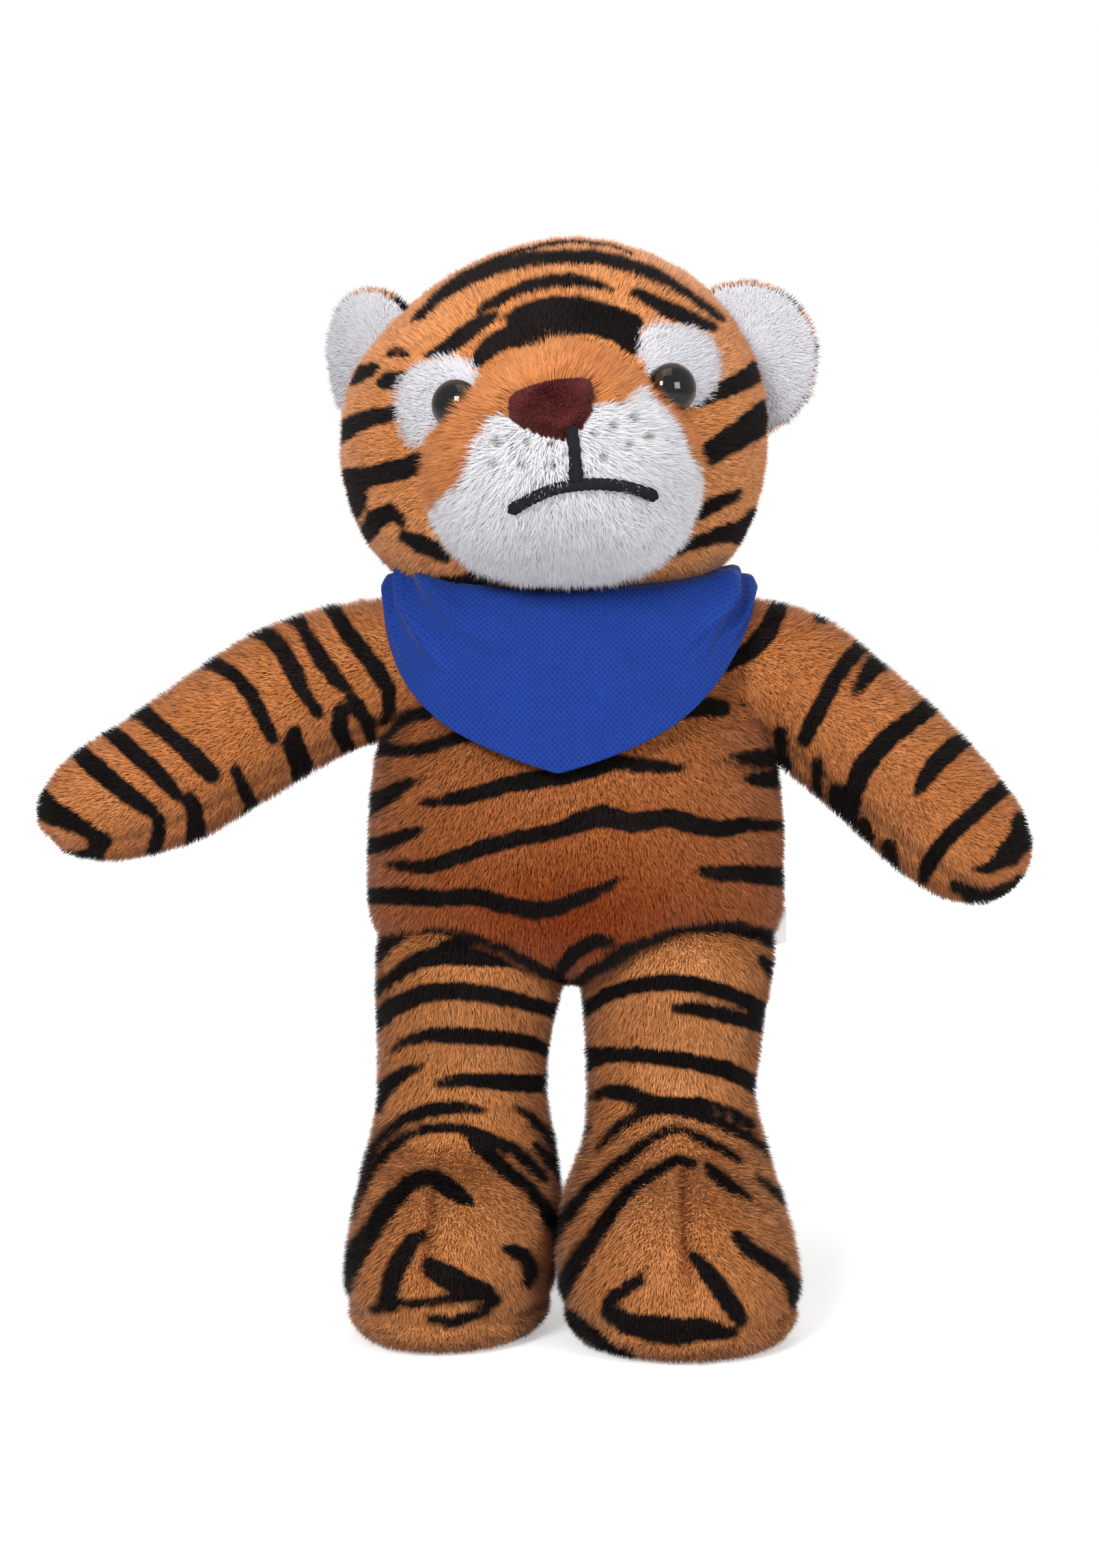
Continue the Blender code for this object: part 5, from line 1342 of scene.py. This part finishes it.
def dish(spots, side):
    reach = (spots[:, 0] / EAR_REACH) ** 2 + (spots[:, 2] / EAR_TALL * 2) ** 2
    return EAR_DISHES[side] * np.clip(1 - reach, 0, 1)


def white_side(spots, side):
    return spots[:, 1] - (curl(spots, side) + dish(spots, side)) < -EAR_RIM


for side, name in SIDES.items():
    tilt = Matrix.Rotation(EAR_LEANS[side], 4, "Y")
    turn = Matrix.Rotation(EAR_TURNS[side] * -side, 4, "Z")
    ear_middle = joint[f"ear_{name}_fold"] - (tilt @ Vector((side * EAR_INSET, 0, 0)))
    ear_frame = Matrix.Translation(ear_middle) @ tilt @ turn
    sections = []
    for turn_up, size in pole_to_pole(12):
        spot = Vector((0, 0, -math.cos(turn_up) * (EAR_TALL / 2 - PILE_STAND)))
        across = Vector(((EAR_REACH - PILE_STAND) * size, 0, 0))
        sections.append((spot, across, Vector((0, (EAR_THICK / 2 - PILE_STAND * 0.5) * size, 0))))
    ear_skin = skin(sections, EAR_AROUND, EAR_ALONG)
    flat = places_of(ear_skin)
    hollow = np.where(flat[:, 1] < 0, 1.0, 0.5)
    flat[:, 1] += hollow * dish(flat, side)
    flat[:, 1] += curl(flat, side)
    put(ear_skin, flat)
    halves = {
        "front": (lambda spots: white_side(spots, side), "white_plush", white_finish),
        "back": (lambda spots: ~white_side(spots, side), "gold_plush", tiger_finish),
    }
    for half, (keep, slot, finish) in halves.items():
        cloth = part_of(ear_skin, keep)
        bmesh.ops.transform(cloth, matrix=ear_frame, verts=cloth.verts[:])
        cloth.normal_update()
        fanned(cloth, np.array(ear_middle))
        bars = (places_of(cloth)[:, 2] - ear_middle.z) / EAR_TALL * EAR_BARS + EAR_BAR_START
        marked(cloth, "stripe", np.abs(bars % 1 - 0.5) * EAR_BAR_APART - EAR_BAR_HALF)
        plush(
            f"ear_{name}_{half}_plush", cloth, f"ear_{name}", [f"ear_{name}_{half}"],
            finish, long=SHORT_HAIR, swirls=0.4,
        )

# Tail
# A thin tube of the same plush with rings of stripes, lightly stuffed and sewn into the back
# seam, from which it hangs to the right.
TAIL_RADIUS, TAIL_LONG = 0.0060, 0.0720
TAIL_AROUND, TAIL_ALONG = 40, 84
# Rings round the tail: how far apart they are in metres and in millimetres, and the half width
# of one in millimetres
TAIL_RING, TAIL_RING_APART, TAIL_RING_HALF = 0.0105, 10.5, 1.7
# Each section: share of the tail's length to the side, back and up, and share of its thickness
TAIL_SHARES = (
    (0.00, 0.00, 0.00, 0.85),
    (-0.01, 0.09, -0.04, 0.95),
    (-0.06, 0.16, -0.16, 1.00),
    (-0.16, 0.17, -0.35, 1.00),
    (-0.29, 0.12, -0.54, 0.95),
    (-0.38, 0.05, -0.73, 0.88),
    (-0.41, 0.02, -0.83, 0.70),
    (-0.42, 0.01, -0.88, 0.32),
    (-0.42, 0.01, -0.89, 0.00),
)
tail_root = joint["tail_swing"]
line = [(tail_root + Vector((0, -0.002, 0.001)), 0.0)]
for out, back, up, size in TAIL_SHARES:
    line.append((tail_root + Vector((out, back, up)) * TAIL_LONG, TAIL_RADIUS * size))
tail_skin = skin(tube_sections(line, 1.0, Vector((0, 1, 0))), TAIL_AROUND, TAIL_ALONG)
run = np.linalg.norm(places_of(tail_skin) - np.array(tail_root), axis=1)
rings = np.abs(run / TAIL_RING % 1 - 0.5)
marked(tail_skin, "stripe", rings * TAIL_RING_APART - TAIL_RING_HALF)
combed(tail_skin, (-0.4, 0, -1.0))
plush("tail_plush", tail_skin, "tail", ["tail_cover", "tail_stuffing"])

# Neck
# The firm filling that joins torso and head, under a band of the same plush that the
# neckerchief hides.
NECK_AROUND, NECK_ALONG = 64, 32
neck_low, neck_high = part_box("neck_stuffing")
neck_middle, neck_half = (neck_low + neck_high) / 2, (neck_high - neck_low) / 2
neck_sections = [
    (
        Vector((neck_middle.x, neck_middle.y, neck_middle.z - math.cos(turn) * neck_half.z)),
        Vector((neck_half.x * size, 0, 0)),
        Vector((0, neck_half.y * size, 0)),
    )
    for turn, size in pole_to_pole(8)
]
neck_skin = skin(neck_sections, NECK_AROUND, NECK_ALONG)
marked(neck_skin, "stripe", 5.0)
combed(neck_skin, (0, 0, -1.0))
plush("neck_plush", neck_skin, "neck", ["neck_stuffing"], crowd=3.0e6)

# Neckerchief
# A triangle of royal blue knit laid round the neck with its point on the chest, its two ends
# drawn back over the shoulders in soft folds and knotted behind.
KNIT_BLUE, KNIT_SHADED = (0.0066, 0.0285, 0.178), (0.0024, 0.010, 0.072)
CLOTH_THICK = 0.0011
# Laid flat: the way round the neck, and the mean drop from the neck to the edge
SCARF_SIDE_INSET, SCARF_NECK_ACROSS, SCARF_NECK_DEEP = 0.0055, 0.0275, 0.0235
SCARF_NECK_DROP, SCARF_NECK_RISE, SCARF_SIDE_LIFT = 0.0012, 0.0022, 0.0020
SCARF_FRONT_GAP, SCARF_FRONT_DROP = 0.0012, 0.0350
SCARF_BACK_INSET, SCARF_BACK_DROP = 0.0050, 0.0120
SCARF_CORNER, SCARF_POINT = 2.5, 1.55
# The point on the chest, and how its two edges run up from it: shares with their powers
SCARF_ASIDE, SCARF_TIP_ASIDE = -0.0016, -0.0026
EDGE_RUNS = {
    -1: ((0.32, 1), (0.15, 2), (0.35, 6), (0.18, 26)),
    1: ((0.34, 1), (0.20, 2), (0.46, 5)),
}
# By share of the way down the cloth: how far out it has spread, how far it has fallen, and how
# high it stands under the chin
SCARF_SPREADS = ((0, 0), (0.10, 0.34), (0.22, 0.66), (0.36, 0.86), (0.60, 0.95), (1, 1))
SCARF_FALLS = ((0, 0), (0.10, 0), (0.22, 0.06), (0.36, 0.22), (0.60, 0.52), (1, 1))
SCARF_STANDS = ((0, 0), (0.10, 0.90), (0.20, 0.95), (0.36, 0.38), (0.60, 0.08), (1, 0))
STAND_HIGH, STAND_BEHIND, STAND_BEFORE = 0.0078, 0.65, 0.35
# Folds drawn from each shoulder: turn from the chest and share of the way down where each
# starts, the same where it ends, and its height
FOLDS = (
    (-1.42, 0.16, -0.62, 0.62, 0.0036),
    (-1.25, 0.10, -0.30, 0.42, 0.0036),
    (-1.55, 0.30, -1.02, 0.80, 0.0026),
    (1.40, 0.14, 0.52, 0.52, 0.0036),
    (1.20, 0.10, 0.66, 0.62, 0.0030),
    (1.52, 0.30, 0.95, 0.75, 0.0028),
)
FOLD_WIDE, FOLD_DOWN = 0.062, 1.4
SCARF_TURNS, SCARF_ROWS = 320, 72
LOOP_WIDE, LOOP_TALL = 0.0013, 0.0014

knit_finish, tree, shader = new_finish("blue_knit")
place = own_place(tree)
patchy = ranged(tree, noise(tree, place, 90.0, 3.0), 0.3, 0.7, 0.0, 0.22)
wales, courses = attribute(tree, "wale"), attribute(tree, "course")
slants = []
for operation in ("ADD", "SUBTRACT"):
    slant = sums(tree, "MULTIPLY", sums(tree, operation, wales, courses), math.pi)
    slants.append(sums(tree, "ABSOLUTE", sums(tree, "SINE", slant)))
loops = sums(tree, "MAXIMUM", *slants)
fluff = ranged(tree, noise(tree, place, 1500.0, 2.0), 0.35, 0.75, 0.0, 0.35)
colour = mixed(tree, patchy, KNIT_BLUE, KNIT_SHADED)
# The knit's holes between its loops are real, and are darkened by painted shade
colour = mixed(tree, ranged(tree, loops, 0.15, 0.75, 0.9, 0.0), colour, KNIT_SHADED)
dress(shader, mixed(tree, fluff, colour, times(KNIT_BLUE, 1.5)), 0.85, 0.10, 0.06, 0.4)
bumps = node(tree, "ShaderNodeBump")
bumps.inputs["Strength"].default_value = 0.8
bumps.inputs["Distance"].default_value = 0.0003
tree.links.new(loops, bumps.inputs["Height"])
tree.links.new(bumps.outputs[0], shader.inputs["Normal"])

scarf_form = bmesh.new()
scarf_form.loops.layers.uv.new("OFBake")
bmesh.ops.create_grid(
    scarf_form, x_segments=SCARF_TURNS, y_segments=SCARF_ROWS, size=1, calc_uvs=True
)
flat = places_of(scarf_form)
turns, down = (flat[:, 0] + 1) * math.pi, (1 - flat[:, 1]) / 2
out, ahead = np.sin(turns), np.cos(turns)
before = soft(ahead, -0.60, -0.10)
spread, fall, stand = (
    np.interp(down, *zip(*shares)) for shares in (SCARF_SPREADS, SCARF_FALLS, SCARF_STANDS)
)
side_x = TORSO_WIDE / 2 - SCARF_SIDE_INSET
reach = np.where(ahead > 0, TORSO_DEEP / 2 + SCARF_FRONT_GAP, TORSO_DEEP / 2 - SCARF_BACK_INSET)
torso_top = TORSO_FOOT + TORSO_TALL
side_z = torso_top + SCARF_SIDE_LIFT
neck_z = torso_top - SCARF_NECK_DROP + SCARF_NECK_RISE * out**2
power = 2 / SCARF_CORNER
wide = SCARF_NECK_ACROSS + (side_x - SCARF_NECK_ACROSS) * spread
deep = SCARF_NECK_DEEP + (reach - SCARF_NECK_DEEP) * spread
across = wide * np.sign(out) * np.abs(out) ** power
edge_x = side_x * np.sign(out) * np.abs(out) ** power - SCARF_TIP_ASIDE
run = np.abs(edge_x) / (side_x - SCARF_TIP_ASIDE * np.sign(edge_x))
climbs = {
    side: sum(share * run**power for share, power in shares) for side, shares in EDGE_RUNS.items()
}
front_share = 1 - np.where(edge_x > 0, climbs[1], climbs[-1])
front_z = side_z - (SCARF_SIDE_LIFT + SCARF_FRONT_DROP) * np.clip(front_share, 0, 1)
back_z = side_z - (SCARF_SIDE_LIFT + SCARF_BACK_DROP) * np.abs(ahead) ** SCARF_POINT
edge_z = np.where(ahead > 0, front_z, back_z)
cloth = np.stack(
    [
        across,
        -deep * np.sign(ahead) * np.abs(ahead) ** power,
        neck_z
        + (edge_z - neck_z) * fall
        + STAND_HIGH * stand * (STAND_BEHIND + STAND_BEFORE * before),
    ],
    axis=1,
)
signed = (turns + math.pi) % math.tau - math.pi
creases = np.zeros(len(cloth))
for turn, high, turn_end, low, rise in FOLDS:
    spots = np.stack([signed, down * FOLD_DOWN], axis=1)
    start = np.array((turn, high * FOLD_DOWN))
    run = np.array((turn_end - turn, (low - high) * FOLD_DOWN))
    share = np.clip((spots - start) @ run / (run @ run), 0, 1)
    away = np.linalg.norm(spots - start - share[:, None] * run, axis=1)
    creases += rise * np.exp(-((away / FOLD_WIDE) ** 2)) * (1 - share) ** 0.7
outwards = cloth * (1, 1, 0)
outwards = outwards / np.linalg.norm(outwards, axis=1)[:, None] + (0, 0, 0.4)
cloth += outwards * creases[:, None]
put(scarf_form, cloth + np.array(middle) + (SCARF_ASIDE, 0, 0))
marked(scarf_form, "wale", across / LOOP_WIDE)
marked(scarf_form, "course", (cloth[:, 2] - deep * 0.6) / LOOP_TALL)
bmesh.ops.remove_doubles(scarf_form, verts=scarf_form.verts[:], dist=PILE_STAND / 100)
bmesh.ops.recalc_face_normals(scarf_form, faces=scarf_form.faces[:])
flat_area = sum(face.calc_area() for face in scarf_form.faces)
scarf = shown("neckerchief", scarf_form, knit_finish)
cloth_thickness = scarf.modifiers.new("cloth", "SOLIDIFY")
cloth_thickness.thickness = CLOTH_THICK
cloth_thickness.offset = 0
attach(scarf, "torso")
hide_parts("scarf")

# Knot
# The neckerchief's two ends tied behind the neck: a small firm pillow of the same knit, drawn in
# by a band on either side.
KNOT_AROUND, KNOT_ALONG = 56, 48
KNOT_BAND_APART, KNOT_BAND_DEEP, KNOT_BAND_WIDE = 0.0035, 0.0012, 0.0018
knot_low, knot_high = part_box("scarf_knot")
knot_middle, knot_half = (knot_low + knot_high) / 2, (knot_high - knot_low) / 2
knot_sections = []
for turn, size in pole_to_pole(10):
    spot = knot_middle - Vector((knot_half.x * math.cos(turn), 0, 0))
    across, up = Vector((0, knot_half.y * size**0.6, 0)), Vector((0, 0, knot_half.z * size**0.6))
    knot_sections.append((spot, across, up))
knot_form = skin(knot_sections, KNOT_AROUND, KNOT_ALONG)
from_band = np.abs(places_of(knot_form)[:, 0] - knot_middle.x) - KNOT_BAND_APART
pressed(knot_form, from_band, KNOT_BAND_DEEP, KNOT_BAND_WIDE)
places = places_of(knot_form)
marked(knot_form, "wale", places[:, 0] / LOOP_WIDE)
marked(knot_form, "course", places[:, 2] / LOOP_TALL)
knot = shown("neckerchief_knot", knot_form, knit_finish)
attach(knot, "torso")
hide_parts("scarf_knot")

# Care label
# A blank loop of white woven tape, folded over and caught in the left side seam when the belly
# and the back were sewn together.
TAPE_WHITE, TAPE_SHADED = (0.80, 0.80, 0.79), (0.66, 0.66, 0.66)


def refinished(made, finish):
    """Gives a solid of the frame its finish, and leaves its mesh alone."""
    made.data.materials.clear()
    made.data.materials.append(finish)


tape_finish, tree, shader = new_finish("white_tape")
place = own_place(tree)
ribs = node(tree, "ShaderNodeTexWave", place, 900.0, bands_direction="Z").outputs["Fac"]
weave = sums(tree, "MULTIPLY", ribs, noise(tree, place, 2500.0))
dress(shader, mixed(tree, weave, TAPE_WHITE, TAPE_SHADED), 0.7)
refinished(frame["nodes"]["care_label"], tape_finish)

# Inside
# What the covers hide: moulded washers that lock the eyes' stems, and small plastic pellets that
# fill the feet and make the tiger stand.
PELLET_WIDE = 0.0022


def moulded_finish(name, pale, grain_and_gap_shade, grain):
    """Matt moulded plastic with a faint grain, or beads side by side with painted shade between
    them.
    """
    material, tree, shader = new_finish(name)
    cells = node(tree, "ShaderNodeTexVoronoi", own_place(tree), None, 1 / grain)
    # Darker towards the cells' edges: a faint grain on the washers, and painted shade between the
    # pellets
    share = ranged(tree, cells.outputs["Distance"], 0.1, 0.7, 0.0, 1.0)
    dress(shader, mixed(tree, share, pale, grain_and_gap_shade), 0.45)
    grains = node(tree, "ShaderNodeBump")
    grains.invert = True
    grains.inputs["Distance"].default_value = grain / 4
    tree.links.new(share, grains.inputs["Height"])
    tree.links.new(grains.outputs[0], shader.inputs["Normal"])
    return material


hidden_finishes = {
    "washer": moulded_finish(
        "washer_plastic", (0.80, 0.80, 0.77), (0.72, 0.72, 0.69), PELLET_WIDE / 8
    ),
    "pellets": moulded_finish("pellets", (0.78, 0.79, 0.81), (0.40, 0.41, 0.43), PELLET_WIDE),
}
for node_name, made in frame["nodes"].items():
    for kind, finish in hidden_finishes.items():
        if kind in node_name:
            refinished(made, finish)

# Floor and light
# A matt pale floor under soft square lamps: the key high in front, a fill on the other side, one
# overhead and a wide one behind, in a pale even sky.
FLOOR_HALF = 3.0
FLOOR_PALE = (0.62, 0.62, 0.62)
# How brightly the floor shows at the tiger's feet and further off, and from where to where
GLOW_NEAR, GLOW_FAR, GLOW_REACH = 0.42, 0.90, (0.10, 0.45)
SKY_STRENGTH = 0.50


def background_seen(tree):
    """One for the rays that show the background: from the camera, off a gloss or through glass."""
    path = node(tree, "ShaderNodeLightPath")
    direct = sums(
        tree, "MAXIMUM", path.outputs["Is Camera Ray"], path.outputs["Is Transmission Ray"]
    )
    return sums(tree, "MAXIMUM", direct, path.outputs["Is Glossy Ray"])


floor_form = bmesh.new()
bmesh.ops.create_grid(floor_form, x_segments=1, y_segments=1, size=FLOOR_HALF)
floor_finish, tree, shader = new_finish("floor")
shader.inputs["Base Color"].default_value = (*FLOOR_PALE, 1)
shader.inputs["Roughness"].default_value = 1.0
shader.inputs["Specular IOR Level"].default_value = 0.0
shader.inputs["Emission Color"].default_value = (1, 1, 1, 1)
away = node(tree, "ShaderNodeVectorMath", own_place(tree), operation="LENGTH").outputs["Value"]
glow = ranged(tree, away, *GLOW_REACH, GLOW_NEAR, GLOW_FAR)
glow = sums(tree, "MULTIPLY", background_seen(tree), glow)
tree.links.new(glow, shader.inputs["Emission Strength"])
floor = shown("floor", floor_form, floor_finish)

world = bpy.data.worlds.new("sky")
bpy.context.scene.world = world
world.use_nodes = True
background = world.node_tree.nodes["Background"]
background.inputs["Color"].default_value = (1, 1, 1, 1)
sky = ranged(world.node_tree, background_seen(world.node_tree), 0.0, 1.0, SKY_STRENGTH, 1.0)
world.node_tree.links.new(sky, background.inputs["Strength"])

# Each lamp: its place, the side of its square and its power, all turned to the tiger's belly
LAMPS_FACE = Vector((0, 0, 0.12))
LAMPS = {
    "key": ((-0.46, -1.20, 0.80), 0.36, 23.5),
    "fill": ((0.95, -0.95, 0.60), 0.42, 9.5),
    "top": ((0.05, -0.45, 1.40), 0.8, 4.5),
    "back": ((0.25, 1.25, 0.70), 0.9, 6.0),
}
for name, (place, size, power) in LAMPS.items():
    lamp = bpy.data.lights.new(name, "AREA")
    lamp.shape = "SQUARE"
    lamp.size = size
    lamp.energy = power
    holder = bpy.data.objects.new(name, lamp)
    holder.location = place
    holder.rotation_euler = (LAMPS_FACE - Vector(place)).to_track_quat("-Z", "Y").to_euler()
    bpy.context.scene.collection.objects.link(holder)

bpy.context.scene.view_settings.view_transform = "Standard"
bpy.data.objects.remove(hair)
